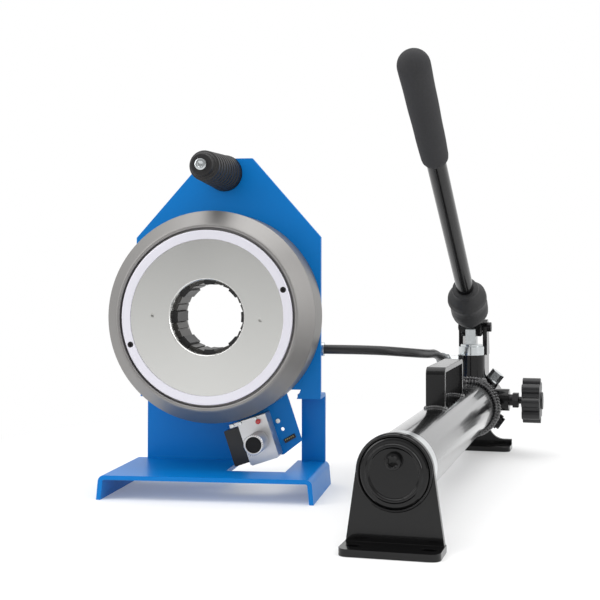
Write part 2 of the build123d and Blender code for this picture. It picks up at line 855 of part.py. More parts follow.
# ---------------------------------------------------------------- pump tank and feet
with BuildPart() as front_foot:
    # Arched upright round the end cap, bent forward into a slotted flange
    with BuildSketch(pump_front(0)) as arch:
        with Locations((0, tank_height)):
            Circle(foot_arch_radius)
        with BuildLine():
            Polyline((-foot_arch_radius + 0.6, tank_height + 6), (-foot_half_width, 0),
                     (foot_half_width, 0), (foot_arch_radius - 0.6, tank_height + 6), close=True)
        make_face()
    extrude(amount=-foot_thickness)
    with BuildSketch(pump_top(0)) as flange:
        with Locations((0, (foot_thickness - foot_flange) / 2)):
            Rectangle(2 * foot_half_width, foot_flange + foot_thickness)
        fillet(flange.vertices().group_by(Axis.Y)[0], foot_corner_radius)
        with Locations((0, -foot_flange / 2)):
            with GridLocations(foot_slot_spacing, 0, 2, 1):
                SlotOverall(foot_slot_length, foot_slot_width, mode=Mode.SUBTRACT)
    extrude(amount=foot_thickness)
    with BuildSketch(pump_front(0)):
        with Locations((0, tank_height)):
            Circle(cap_radius)
    extrude(amount=-foot_thickness, mode=Mode.SUBTRACT)
save(front_foot.part, "front_foot")

with BuildPart() as tank_end_cap:
    # Pressed end cap with two raised rings and a seat for the filler plug
    with BuildSketch(tank_profile):
        with BuildLine():
            Polyline((-cap_depth, 0), (-cap_depth, cap_ring_radius - 4),
                     (-cap_depth - cap_ring_height, cap_ring_radius - 2.5),
                     (-cap_depth, cap_ring_radius), (-cap_depth, cap_radius - 3),
                     (-cap_depth + 2, cap_radius - tiny), (foot_thickness, cap_radius - tiny),
                     (foot_thickness, 0), close=True)
        make_face()
    revolve(axis=tank_axis)
    with BuildSketch(pump_front(-cap_depth)):
        with Locations((0, tank_height + filler_height)):
            Circle(filler_radius * 0.6)
    extrude(amount=-cap_depth - foot_thickness / 2, mode=Mode.SUBTRACT)
save(tank_end_cap.part, "tank_end_cap")

with BuildPart() as filler_plug:
    # Screw plug with a slotted round head
    with BuildSketch(pump_front(-cap_depth)):
        with Locations((0, tank_height + filler_height)):
            Circle(filler_radius)
    extrude(amount=filler_length)
    with BuildSketch(pump_front(-cap_depth - filler_length)):
        with Locations((0, tank_height + filler_height)):
            Rectangle(filler_radius * 2, 2, rotation=25)
    extrude(amount=-2, mode=Mode.SUBTRACT)
    with BuildSketch(pump_front(-cap_depth)):
        with Locations((0, tank_height + filler_height)):
            Circle(filler_radius * 0.6 - tiny)
    extrude(amount=-cap_depth - foot_thickness / 2)
save(filler_plug.part, "filler_plug")

with BuildPart() as tank_tube:
    # Oil tank: a plain tube between the front foot and the pump block
    with BuildSketch(pump_front(foot_thickness)):
        with Locations((0, tank_height)):
            Circle(tank_radius)
            Circle(tank_radius - tank_wall, mode=Mode.SUBTRACT)
    extrude(amount=-(block_start - foot_thickness))
save(tank_tube.part, "tank_tube")

with BuildPart() as tank_collar:
    # Bright band round the tank behind the front foot
    with BuildSketch(pump_front(foot_thickness + tiny)):
        with Locations((0, tank_height)):
            Circle(collar_radius)
            Circle(tank_radius + tiny, mode=Mode.SUBTRACT)
    extrude(amount=-collar_length)
save(tank_collar.part, "tank_collar")

with BuildPart() as carry_handle:
    # Flat bar bent to a U and shaped to the tank at both feet
    with BuildSketch(pump_side(0)) as hoop:
        with BuildLine():
            Polyline((handle_start, tank_height), (handle_start, handle_top),
                     (handle_end, handle_top), (handle_end, tank_height), close=True)
        make_face()
        fillet(hoop.vertices().group_by(Axis.Y)[-1], handle_bar * 1.4)
        with BuildLine():
            Polyline((handle_start + handle_bar, tank_height - 1),
                     (handle_start + handle_bar, handle_top - handle_bar),
                     (handle_end - handle_bar, handle_top - handle_bar),
                     (handle_end - handle_bar, tank_height - 1), close=True)
        make_face(mode=Mode.SUBTRACT)
    extrude(amount=handle_width / 2, both=True)
    with BuildSketch(pump_front(0)):
        with Locations((0, tank_height)):
            Circle(tank_radius + tiny)
    extrude(amount=-block_start, mode=Mode.SUBTRACT)
    # The bar's ends below the tank's crown are cut away with it
    with BuildSketch(pump_top(0)):
        with Locations((0, (handle_start + handle_end) / 2)):
            Rectangle(handle_width * 2, handle_end)
    extrude(amount=tank_height + tank_radius / 2, mode=Mode.SUBTRACT)
save(carry_handle.part, "carry_handle")

# ---------------------------------------------------------------- pump block
tower_length = tower_rear - tower_front + 2 * tower_radius
fulcrum_station = tower_front + lever_arm * cos(radians(arm_angle))
fulcrum_height = eye_height - lever_arm * sin(radians(arm_angle))
cheek_inner = tongue_half + cheek_gap
cheek_outer = cheek_inner + cheek_thickness
ear_inner = cheek_outer + cheek_gap
ear_outer = ear_inner + ear_thickness


def radial_point(station, angle, radius):
    """The place on a radius from the tank axis, at an angle up from the tank's right."""
    return pump_point(station, radius * cos(radians(angle)),
                      tank_height + radius * sin(radians(angle)))


def radial_seat(station, angle, radius):
    """A plane square to such a radius, facing outwards, with local y along the tank."""
    outward = across * cos(radians(angle)) + up * sin(radians(angle))
    return Plane(origin=radial_point(station, angle, radius),
                 x_dir=along.cross(outward), z_dir=outward)


with BuildPart() as pump_block:
    # Turned block that closes the tank, with its weld bead
    with BuildSketch(tank_profile):
        with BuildLine():
            Polyline((block_start, 0), (block_start, tank_radius),
                     (block_start - weld_width / 2, tank_radius), (block_start - 4, weld_radius - 2),
                     (block_start, weld_radius), (block_start + 4, weld_radius - 1.5),
                     (block_start + weld_width / 2, pump_block_radius),
                     (block_end - 3, pump_block_radius), (block_end, pump_block_radius - 3),
                     (block_end, 0), close=True)
        make_face()
    revolve(axis=tank_axis)
    # Cylinder tower over the block
    with BuildSketch(pump_top(tank_height)):
        with Locations((0, (tower_front + tower_rear) / 2)):
            SlotOverall(tower_length, 2 * tower_radius, rotation=90)
    extrude(amount=tower_top - tank_height)
    # The tank's end passes under the tower's front
    with BuildSketch(pump_front(block_start - weld_width)):
        with Locations((0, tank_height)):
            Circle(tank_radius)
    extrude(amount=-weld_width, mode=Mode.SUBTRACT)
    # Seats for the release valve, the relief plug, the drain plug and the outlet
    with BuildSketch(pump_side(tower_radius)):
        with Locations((valve_station, valve_height)):
            Circle(valve_boss_radius)
    extrude(amount=valve_boss_end - tower_radius)
    with BuildSketch(radial_seat(relief_station, relief_angle, tank_radius / 2)):
        Circle(relief_boss_radius)
    extrude(amount=relief_boss_out - tank_radius / 2)
    with BuildSketch(radial_seat(valve_station, drain_angle, tank_radius / 2)):
        Circle(drain_boss_radius)
    extrude(amount=relief_boss_out - tank_radius / 2)
    # Fulcrum ears on the tower
    for side in (ear_inner, -ear_outer):
        with BuildSketch(pump_side(side)):
            with BuildLine():
                Polyline((fulcrum_station - ear_radius, fulcrum_height),
                         (fulcrum_station - ear_radius, tower_top - 1),
                         (fulcrum_station + ear_radius + 8, tower_top - 1),
                         (fulcrum_station + ear_radius, fulcrum_height), close=True)
            make_face()
            with Locations((fulcrum_station, fulcrum_height)):
                Circle(ear_radius)
        extrude(amount=ear_thickness)
    with BuildSketch(pump_side(-ear_outer)):
        with Locations((fulcrum_station, fulcrum_height)):
            Circle(pin_radius)
    extrude(amount=2 * ear_outer, mode=Mode.SUBTRACT)
    # Piston bore from the tower's top
    with BuildSketch(pump_top(tower_top)):
        with Locations((0, tower_front)):
            Circle(piston_radius + running_gap)
    extrude(amount=piston_bore_bottom - tower_top, mode=Mode.SUBTRACT)
    # Tapped holes for the rear foot
    with BuildSketch(pump_front(block_end)):
        with Locations((0, tank_height - rear_bolt_drop),
                       (0, tank_height - rear_bolt_drop - rear_bolt_pitch)):
            Circle(rear_bolt_radius)
    extrude(amount=rear_bolt_reach + 1, mode=Mode.SUBTRACT)
    # Release valve bore: wide for the gland's neck, then narrow for the stem
    with BuildSketch(pump_side(valve_boss_end)):
        with Locations((valve_station, valve_height)):
            Circle(valve_neck_radius)
    extrude(amount=-valve_neck_depth, mode=Mode.SUBTRACT)
    with BuildSketch(pump_side(valve_boss_end)):
        with Locations((valve_station, valve_height)):
            Circle(valve_stem_radius + running_gap)
    extrude(amount=valve_stem_start - 2 - valve_boss_end, mode=Mode.SUBTRACT)
save(pump_block.part, "pump_block")

with BuildPart() as cylinder_gland:
    # Gland ring on the tower round the piston
    with BuildSketch(pump_top(tower_top)):
        with Locations((0, tower_front)):
            Circle(gland_radius)
            Circle(piston_radius + running_gap, mode=Mode.SUBTRACT)
    extrude(amount=gland_height)
save(cylinder_gland.part, "cylinder_gland")

rear_bolt_places = ((0, tank_height - rear_bolt_drop), (0, tank_height - rear_bolt_drop - rear_bolt_pitch))
with BuildPart() as rear_foot:
    # Upright stem that spreads into a foot, bent forward into a slotted flange
    with BuildSketch(pump_front(block_end)) as stem:
        with BuildLine():
            Polyline((-rear_foot_stem, tank_height), (-rear_foot_stem, foot_thickness * 2),
                     (-foot_half_width, foot_thickness * 2), (-foot_half_width, 0),
                     (foot_half_width, 0), (foot_half_width, foot_thickness * 2),
                     (rear_foot_stem, foot_thickness * 2), (rear_foot_stem, tank_height),
                     close=True)
        make_face()
        for side in (-rear_foot_stem, rear_foot_stem):
            fillet(stem.vertices().sort_by_distance((side, foot_thickness * 2))[0],
                   rear_foot_fillet)
        with Locations(*rear_bolt_places):
            Circle(rear_bolt_radius, mode=Mode.SUBTRACT)
    extrude(amount=-foot_thickness)
    with BuildSketch(pump_top(0)) as rear_flange:
        with Locations((0, block_end + (foot_thickness - foot_flange) / 2)):
            Rectangle(2 * foot_half_width, foot_flange + foot_thickness)
        fillet(rear_flange.vertices().group_by(Axis.Y)[0], foot_corner_radius)
        with Locations((0, block_end - foot_flange / 2)):
            with GridLocations(foot_slot_spacing, 0, 2, 1):
                SlotOverall(foot_slot_length, foot_slot_width, mode=Mode.SUBTRACT)
    extrude(amount=foot_thickness)
save(rear_foot.part, "rear_foot")

with BuildPart() as rear_foot_bolts:
    # Two hexagon bolts that hold the rear foot to the block
    with BuildSketch(pump_front(block_end + foot_thickness)):
        with Locations(*rear_bolt_places):
            Circle(rear_bolt_radius)
    extrude(amount=foot_thickness + rear_bolt_reach)
    with BuildSketch(pump_front(block_end + foot_thickness)):
        with Locations(*rear_bolt_places):
            RegularPolygon(rear_bolt_radius * 1.85, 6)
    extrude(amount=-rear_bolt_radius * 1.4)
save(rear_foot_bolts.part, "rear_foot_bolts")

# ---------------------------------------------------------------- piston and lever
lever_direction = along * -sin(radians(lever_lean)) + up * cos(radians(lever_lean))
lever_origin = pump_point(fulcrum_station, 0, fulcrum_height)
lever_axis = Axis(lever_origin, lever_direction)
eye_along = (fulcrum_station - tower_front) * sin(radians(lever_lean)) \
    + (eye_height - fulcrum_height) * cos(radians(lever_lean))
eye_below = (fulcrum_station - tower_front) * cos(radians(lever_lean)) \
    - (eye_height - fulcrum_height) * sin(radians(lever_lean))


def lever_plane(n):
    """An upright plane through the lever: local x is along it, local y is forward and down."""
    return Plane(origin=pump_point(fulcrum_station, n, fulcrum_height),
                 x_dir=lever_direction, z_dir=across)


lever_station_plane = Plane(origin=lever_origin, x_dir=across, z_dir=lever_direction)

# The eye is a slot: the pin on the lever's arc leans back by eye_back at both limits
arm_top = radians(arm_angle + lever_up)
eye_back = lever_arm * (cos(radians(arm_angle)) - cos(arm_top))
eye_forward = lever_arm * (1 - cos(radians(arm_angle)))
eye_play = 0.6
slot_half = pin_radius + eye_play + (eye_back + eye_forward) / 2
slot_centre = tower_front + (eye_back - eye_forward) / 2
tongue_wall = 4.5
with BuildPart() as pump_piston:
    # Plated piston with a slotted tongue on top
    with BuildSketch(pump_top(piston_bottom)):
        with Locations((0, tower_front)):
            Circle(piston_radius)
    extrude(amount=piston_top - piston_bottom)
    with BuildSketch(pump_side(-tongue_half)) as tongue:
        with Locations((slot_centre, (piston_top - 1 + eye_height) / 2)):
            Rectangle(2 * (slot_half + tongue_wall), eye_height - piston_top + 1)
        with Locations((slot_centre, eye_height)):
            SlotOverall(2 * (slot_half + tongue_wall), 2 * (pin_radius + eye_play + tongue_wall))
        with Locations((slot_centre, eye_height)):
            SlotOverall(2 * slot_half, 2 * (pin_radius + eye_play), mode=Mode.SUBTRACT)
    extrude(amount=2 * tongue_half)
save(pump_piston.part, "pump_piston")

with BuildPart() as lever_yoke:
    # Two cheeks and the socket for the lever tube
    for side in (cheek_inner, -cheek_outer):
        with BuildSketch(lever_plane(side)):
            Circle(pin_radius * 2)
            with Locations((eye_along, eye_below)):
                Circle(pin_radius * 2 - 1)
            with Locations((boot_start - cheek_root, 0)):
                Circle(cheek_root_radius)
            make_hull()
        extrude(amount=cheek_thickness)
    with BuildSketch(Plane(origin=lever_origin + lever_direction * socket_start,
                           x_dir=across, z_dir=lever_direction)):
        Circle(socket_radius)
    extrude(amount=socket_length)
    with BuildSketch(Plane(origin=lever_origin + lever_direction * tube_start,
                           x_dir=across, z_dir=lever_direction)):
        Circle(tube_radius)
    extrude(amount=socket_length, mode=Mode.SUBTRACT)
    with BuildSketch(lever_plane(-cheek_outer)):
        Circle(pin_radius + running_gap)
        with Locations((eye_along, eye_below)):
            Circle(pin_radius)
    extrude(amount=2 * cheek_outer, mode=Mode.SUBTRACT)
save(lever_yoke.part, "lever_yoke")

with BuildPart() as fulcrum_pin:
    # Headed pin through the ears and cheeks
    with BuildSketch(pump_side(-ear_outer - 2)):
        with Locations((fulcrum_station, fulcrum_height)):
            Circle(pin_radius)
    extrude(amount=2 * ear_outer + 2)
    with BuildSketch(pump_side(ear_outer)):
        with Locations((fulcrum_station, fulcrum_height)):
            Circle(pin_radius * 1.35)
    extrude(amount=pin_radius)
save(fulcrum_pin.part, "fulcrum_pin")

with BuildPart() as piston_pin:
    # Plain pin in the cheeks, through the piston's slotted tongue
    with BuildSketch(lever_plane(-cheek_outer)):
        with Locations((eye_along, eye_below)):
            Circle(pin_radius)
    extrude(amount=2 * cheek_outer)
save(piston_pin.part, "piston_pin")

lever_profile = lever_plane(0)
with BuildPart() as lever_tube:
    # Steel tube pressed into the socket
    with BuildSketch(lever_profile):
        with BuildLine():
            Polyline((tube_start, tube_radius - 2), (tube_start, tube_radius),
                     (tube_end, tube_radius), (tube_end, tube_radius - 2), close=True)
        make_face()
    revolve(axis=lever_axis)
save(lever_tube.part, "lever_tube")

with BuildPart() as foam_grip:
    # Foam sleeve with a domed end
    with BuildSketch(lever_profile):
        with BuildLine():
            dome_start = foam_end - foam_top_radius
            Polyline((dome_start, foam_top_radius), (foam_start + 8, foam_radius),
                     (foam_start, foam_radius - 3), (foam_start, tube_radius),
                     (tube_end, tube_radius), (tube_end, 0), (foam_end, 0))
            ThreePointArc((foam_end, 0),
                          (dome_start + foam_top_radius * cos(radians(45)),
                           foam_top_radius * sin(radians(45))),
                          (dome_start, foam_top_radius))
        make_face()
    revolve(axis=lever_axis)
save(foam_grip.part, "foam_grip")

socket_end = socket_start + socket_length
boot_length = boot_end - boot_start
with BuildPart() as rubber_boot:
    # Rubber boot round the socket with a collar on the tube
    with BuildSketch(lever_profile):
        with BuildLine():
            Polyline((boot_start, socket_radius + tiny), (boot_start, boot_mouth_radius))
            Spline((boot_start, boot_mouth_radius), (boot_start + boot_length * 0.16, boot_bulge_radius),
                   (boot_start + boot_length * 0.38, boot_waist_radius),
                   (boot_start + boot_length * 0.6, boot_bulge_radius),
                   (boot_start + boot_length * 0.84, boot_collar_radius + 2),
                   (boot_end, boot_collar_radius))
            Polyline((boot_end, boot_collar_radius), (boot_end, tube_radius + tiny),
                     (socket_end, tube_radius + tiny), (socket_end, socket_radius + tiny),
                     (boot_start, socket_radius + tiny))
        make_face()
    revolve(axis=lever_axis)
save(rubber_boot.part, "rubber_boot")

# ---------------------------------------------------------------- valves
with BuildPart() as release_gland:
    # Gland nut with its neck in the block's boss
    with BuildSketch(pump_side(valve_boss_end - valve_neck_depth)):
        with Locations((valve_station, valve_height)):
            Circle(valve_neck_radius)
    extrude(amount=valve_neck_depth + valve_nut_start - valve_boss_end)
    with BuildSketch(pump_side(valve_nut_start)):
        with Locations((valve_station, valve_height)):
            RegularPolygon(valve_nut_size / 2, 6, major_radius=False)
    extrude(amount=valve_nut_width)
    with BuildSketch(pump_side(valve_nut_start)):
        with Locations((valve_station, valve_height)):
            Circle(valve_stem_radius + running_gap)
    extrude(amount=4 * valve_nut_width, both=True, mode=Mode.SUBTRACT)
save(release_gland.part, "release_gland")

with BuildPart() as release_stem:
    # Spindle of the release valve
    with BuildSketch(pump_side(valve_stem_start)):
        with Locations((valve_station, valve_height)):
            Circle(valve_stem_radius)
    extrude(amount=knob_start + knob_length / 2 - valve_stem_start)
save(release_stem.part, "release_stem")

with BuildPart() as release_knob:
    # Lobed hand knob
    with BuildSketch(pump_side(knob_start)):
        with Locations((valve_station, valve_height)):
            Circle(knob_radius - knob_lobe_radius / 2)
            with PolarLocations(knob_radius - knob_lobe_radius / 2, knob_lobes):
                Circle(knob_lobe_radius)
    extrude(amount=knob_length)
    with BuildSketch(pump_side(knob_start + knob_length)):
        with Locations((valve_station, valve_height)):
            Circle(knob_hub_radius)
    extrude(amount=3)
    with BuildSketch(pump_side(knob_start)):
        with Locations((valve_station, valve_height)):
            Circle(valve_stem_radius)
    extrude(amount=knob_length / 2, mode=Mode.SUBTRACT)
save(release_knob.part, "release_knob")

with BuildPart() as relief_plug:
    # Hexagon plug on its washer, on the block's upper right
    with BuildSketch(radial_seat(relief_station, relief_angle, relief_boss_out)):
        Circle(relief_boss_radius - 0.5)
    extrude(amount=2)
    with BuildSketch(radial_seat(relief_station, relief_angle, relief_boss_out + 2)):
        RegularPolygon(relief_size / 2, 6, major_radius=False)
    extrude(amount=relief_height)
save(relief_plug.part, "relief_plug")

with BuildPart() as drain_plug:
    # Low plug on the block's lower right
    with BuildSketch(radial_seat(valve_station, drain_angle, relief_boss_out)):
        Circle(drain_boss_radius - 2)
        RegularPolygon(drain_boss_radius / 3, 6, mode=Mode.SUBTRACT)
    extrude(amount=4)
save(drain_plug.part, "drain_plug")

# ---------------------------------------------------------------- hose and its fittings
ball_offset = tower_radius + outlet_nut_length + outlet_ball_radius * 0.7
turn_start = outlet_ball_radius * 0.7
outlet_centre = pump_point(outlet_station, -ball_offset, outlet_height)
outlet_vector = -along * cos(radians(outlet_tilt)) + up * sin(radians(outlet_tilt))


def outlet_plane(distance):
    """A plane square to the outlet's turned end, at a distance from the elbow's centre."""
    return Plane(origin=outlet_centre + outlet_vector * distance, x_dir=across, z_dir=outlet_vector)


with BuildPart() as outlet_fitting:
    # Elbow on the tower's left: nut, round body and a nut towards the front, tilted up
    with BuildSketch(pump_side(-tower_radius)):
        with Locations((outlet_station, outlet_height)):
            RegularPolygon(outlet_nut_size / 2, 6, major_radius=False)
    extrude(amount=-outlet_nut_length)
    with BuildSketch(pump_side(-ball_offset)) as ball_section:
        with Locations((outlet_station, outlet_height)):
            Circle(outlet_ball_radius)
            with Locations((0, -outlet_ball_radius)):
                Rectangle(2 * outlet_ball_radius, 2 * outlet_ball_radius, mode=Mode.SUBTRACT)
    revolve(axis=Axis(pump_point(outlet_station, -ball_offset, outlet_height), along))
    with BuildSketch(outlet_plane(turn_start)):
        RegularPolygon(outlet_nut_size / 2, 6, major_radius=False)
    extrude(amount=outlet_turn_length)
save(outlet_fitting.part, "outlet_fitting")

port_vector = Vector(*port_direction)
port_centre = Vector(axis_x, crimper_y + port_station, crimp_height)


def port_plane(radius):
    """A plane square to the oil port at a radius from the crimp axis."""
    return Plane(origin=port_centre + port_vector * radius, x_dir=(0, 1, 0), z_dir=port_vector)


port_ball_centre = port_centre + port_vector * (barrel_radius + port_nut_length + port_ball_offset)


def level_plane(distance):
    """A plane square to the level hose end, at a distance from the port's ball."""
    return Plane(origin=port_ball_centre + Vector(distance, 0, 0), x_dir=(0, 1, 0), z_dir=(1, 0, 0))


with BuildPart() as port_fitting:
    # Hexagon adapter screwed into the barrel, with a ball that turns the hose level
    with BuildSketch(port_plane(bore_radius + 1)):
        Circle(port_bore)
    extrude(amount=barrel_radius - bore_radius)
    with BuildSketch(port_plane(barrel_radius)):
        RegularPolygon(port_nut_size / 2, 6, major_radius=False)
    extrude(amount=port_nut_length)
    with BuildSketch(Plane(origin=port_ball_centre, x_dir=(1, 0, 0), z_dir=(0, -1, 0))):
        Circle(port_ball_radius)
        with Locations((0, -port_ball_radius)):
            Rectangle(2 * port_ball_radius, 2 * port_ball_radius, mode=Mode.SUBTRACT)
    revolve(axis=Axis(port_ball_centre, (1, 0, 0)))
    with BuildSketch(level_plane(0)):
        Circle(ferrule_radius - port_wall_gap)
    extrude(amount=port_turn_length)
save(port_fitting.part, "port_fitting")

with BuildPart() as head_ferrule:
    # Crimped ferrule at the head's end of the hose
    with BuildSketch(level_plane(port_turn_length)):
        Circle(ferrule_radius)
    extrude(amount=head_ferrule_length)
save(head_ferrule.part, "head_ferrule")

with BuildPart() as pump_ferrule:
    # Crimped ferrule at the pump's end of the hose
    with BuildSketch(outlet_plane(turn_start + outlet_turn_length)):
        Circle(ferrule_radius)
    extrude(amount=ferrule_length)
save(pump_ferrule.part, "pump_ferrule")

hose_start = port_ball_centre + Vector(port_turn_length + head_ferrule_length, 0, 0)
hose_end = outlet_centre + outlet_vector * (turn_start + outlet_turn_length + ferrule_length)
hose_points = [hose_start, hose_start + Vector(hose_lead, 0, 0), Vector(90, 33, 159),
               Vector(107, 96, 153), hose_end + outlet_vector * hose_lead, hose_end]
hose_runs = [(b - a).length for a, b in zip(hose_points, hose_points[1:])]
hose_radii = []
for before, corner, after in zip(hose_points, hose_points[1:], hose_points[2:]):
    turn = radians((corner - before).get_angle(after - corner))
    shorter = min((corner - before).length, (after - corner).length)
    hose_radii.append(0.45 * shorter / tan(turn / 2))
with BuildPart() as hydraulic_hose:
    # High-pressure hose: straight runs joined by tangent arcs
    with BuildLine() as hose_route:
        FilletPolyline(*hose_points, radius=hose_radii)
    with BuildSketch(Plane(origin=hose_start, x_dir=(0, 1, 0), z_dir=(1, 0, 0))):
        Circle(hose_radius)
    sweep()
save(hydraulic_hose.part, "hydraulic_hose")
hose_length = sum(edge.length for edge in hose_route.edges())
print("hose runs", [round(run, 1) for run in hose_runs])
print("hose radii", [round(radius, 1) for radius in hose_radii])
print("hose length", round(hose_length, 1), "volume ratio",
      round(hydraulic_hose.part.volume / (pi * hose_radius ** 2 * hose_length), 4))
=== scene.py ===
import json
import logging
import math
from dataclasses import dataclass, replace
from enum import Enum
from typing import Optional, Sequence

import bmesh
import bpy
import numpy as np
from mathutils import Matrix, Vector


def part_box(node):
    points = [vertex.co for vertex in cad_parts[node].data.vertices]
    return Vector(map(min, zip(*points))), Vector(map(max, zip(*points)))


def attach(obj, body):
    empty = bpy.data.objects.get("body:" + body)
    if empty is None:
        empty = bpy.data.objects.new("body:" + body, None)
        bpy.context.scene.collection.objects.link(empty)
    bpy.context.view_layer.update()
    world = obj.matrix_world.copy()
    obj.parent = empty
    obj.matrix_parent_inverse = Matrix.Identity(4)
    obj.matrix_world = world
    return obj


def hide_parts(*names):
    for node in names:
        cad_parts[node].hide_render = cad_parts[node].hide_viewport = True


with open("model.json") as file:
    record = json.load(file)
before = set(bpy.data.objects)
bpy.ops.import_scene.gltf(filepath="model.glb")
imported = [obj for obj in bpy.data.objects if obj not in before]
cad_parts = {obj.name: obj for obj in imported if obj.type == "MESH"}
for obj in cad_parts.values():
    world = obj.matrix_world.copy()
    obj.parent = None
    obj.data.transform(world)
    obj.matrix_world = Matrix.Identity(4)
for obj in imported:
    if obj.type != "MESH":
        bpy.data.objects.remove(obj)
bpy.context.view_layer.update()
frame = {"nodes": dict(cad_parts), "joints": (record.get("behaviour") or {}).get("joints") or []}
LOG = logging.getLogger("crimping_machine")

Array = np.ndarray
Colour = tuple[float, float, float]
Profile = tuple[tuple[float, float], ...]
Object = bpy.types.Object
Material = bpy.types.Material
MM = 0.001
FULL_TURN = 2 * math.pi
UP = (0.0, 0.0, 1.0)
SMALL_EDGE = 0.2 * MM
FINE_EDGE = 0.25 * MM


# ---------------------------------------------------------------- places and surfaces
@dataclass(frozen=True)
class Axes:
    """A local frame: where it starts and its three unit directions."""

    origin: Array
    x: Array
    y: Array
    z: Array

    def place(self, a: Array, b: Array, c: Array) -> Array:
        """Points at origin + a x + b y + c z.

        Args:
            a: Distances along x.
            b: Distances along y.
            c: Distances along z.

        Returns:
            Points, with one more dimension than the distances.
        """
        a, b, c = np.broadcast_arrays(a, b, c)
        return (self.origin + a[..., None] * self.x + b[..., None] * self.y
                + c[..., None] * self.z)

    def moved(self, a: float, b: float, c: float) -> "Axes":
        """The same directions from another start."""
        return replace(self, origin=self.place(np.array(a), np.array(b), np.array(c)))


def unit(vector: Array) -> Array:
    """The vector at length one."""
    return vector / np.linalg.norm(vector)


def axes_along(origin: Sequence[float], direction: Sequence[float],
               side: Sequence[float]) -> Axes:
    """A frame whose z runs along a direction and whose x lies towards a side.

    Args:
        origin: Where the frame starts.
        direction: Where its z points.
        side: Where its x leans.

    Returns:
        The frame.
    """
    z = unit(np.array(direction, float))
    x = unit(np.array(side, float) - z * np.dot(side, z))
    return Axes(np.array(origin, float), x, np.cross(z, x), z)


def rounded(corners: Sequence[tuple[float, float]], radius: float, steps: int = 5,
            closed: bool = False) -> Array:
    """A profile whose corners are turned into short curves.

    Round a corner P, with A and B the points a radius before and after it, the curve is
    (1 - t)^2 A + 2 t (1 - t) P + t^2 B.

    Args:
        corners: The outline's corners in order.
        radius: How far from a corner its curve starts, at most 0.45 of the side.
        steps: Points on each curve.
        closed: Whether the last corner joins the first.

    Returns:
        The outline's points, one row each.
    """
    points = np.array(corners, float)
    before = np.roll(points, 1, axis=0) - points
    after = np.roll(points, -1, axis=0) - points
    t = np.linspace(0, 1, steps)[None, :, None]
    sides = []
    for way in (before, after):
        length = np.maximum(np.linalg.norm(way, axis=1, keepdims=True), 1e-9)
        sides.append((points + way / length * np.minimum(radius, 0.45 * length))[:, None])
    curve = (1 - t) ** 2 * sides[0] + 2 * t * (1 - t) * points[:, None] + t ** 2 * sides[1]
    if closed:
        return curve.reshape(-1, 2)
    return np.vstack([points[:1], curve[1:-1].reshape(-1, 2), points[-1:]])


def surface(name: str, points: Array, close_rows: bool = False, close_columns: bool = True,
            sharp: float = 40.0) -> Object:
    """A mesh piece from a grid of points.

    Args:
        name: The piece's name.
        points: Grid of points, rows by columns by 3.
        close_rows: Whether the last row joins the first.
        close_columns: Whether the last column joins the first.
        sharp: Edges that turn by more than this many degrees stay sharp.

    Returns:
        The linked object, welded, with its faces outwards.
    """
    rows, columns = points.shape[:2]
    row = np.arange(rows if close_rows else rows - 1)
    column = np.arange(columns if close_columns else columns - 1)
    r0, c0 = np.meshgrid(row, column, indexing="ij")
    r1, c1 = (r0 + 1) % rows, (c0 + 1) % columns
    quads = np.stack([r0 * columns + c0, r0 * columns + c1, r1 * columns + c1,
                      r1 * columns + c0], axis=-1).reshape(-1, 4)
    mesh = bpy.data.meshes.new(name)
    mesh.from_pydata(points.reshape(-1, 3).tolist(), [], quads.tolist())
    return finished(name, mesh, sharp)


def finished(name: str, mesh: bpy.types.Mesh, sharp: float = 40.0,
             recalculate: bool = True) -> Object:
    """Welds a mesh, points its faces outwards, shades it and links its object.

    Args:
        name: The piece's name.
        mesh: The mesh to finish.
        sharp: Edges that turn by more than this many degrees stay sharp.
        recalculate: Whether faces are turned outwards.

    Returns:
        The linked object.
    """
    work = bmesh.new()
    work.from_mesh(mesh)
    bmesh.ops.remove_doubles(work, verts=work.verts, dist=1e-6)
    if recalculate:
        bmesh.ops.recalc_face_normals(work, faces=work.faces)
    work.to_mesh(mesh)
    work.free()
    mesh.polygons.foreach_set("use_smooth", np.ones(len(mesh.polygons), bool))
    mesh.set_sharp_from_angle(angle=math.radians(sharp))
    piece = bpy.data.objects.new(name, mesh)
    piece.modifiers.new("face_weighted_normals", "WEIGHTED_NORMAL").keep_sharp = True
    bpy.context.scene.collection.objects.link(piece)
    return piece


def turned(name: str, axes: Axes, profile: Array, segments: int = 128,
           closed: bool = False, sharp: float = 40.0) -> Object:
    """A lathe shape: the profile's (station, radius) points go round the frame's z.

    Args:
        name: The piece's name.
        axes: The frame whose z is the axis.
        profile: Station and radius of each point, one row each.
        segments: Points round the axis.
        closed: Whether the last point joins the first.
        sharp: Edges that turn by more than this many degrees stay sharp.

    Returns:
        The lathe shape.
    """
    turn = np.linspace(0, FULL_TURN, segments, endpoint=False)
    station, radius = profile[:, :1], profile[:, 1:]
    points = axes.place(radius * np.cos(turn), radius * np.sin(turn), station)
    return surface(name, points, close_rows=closed, sharp=sharp)


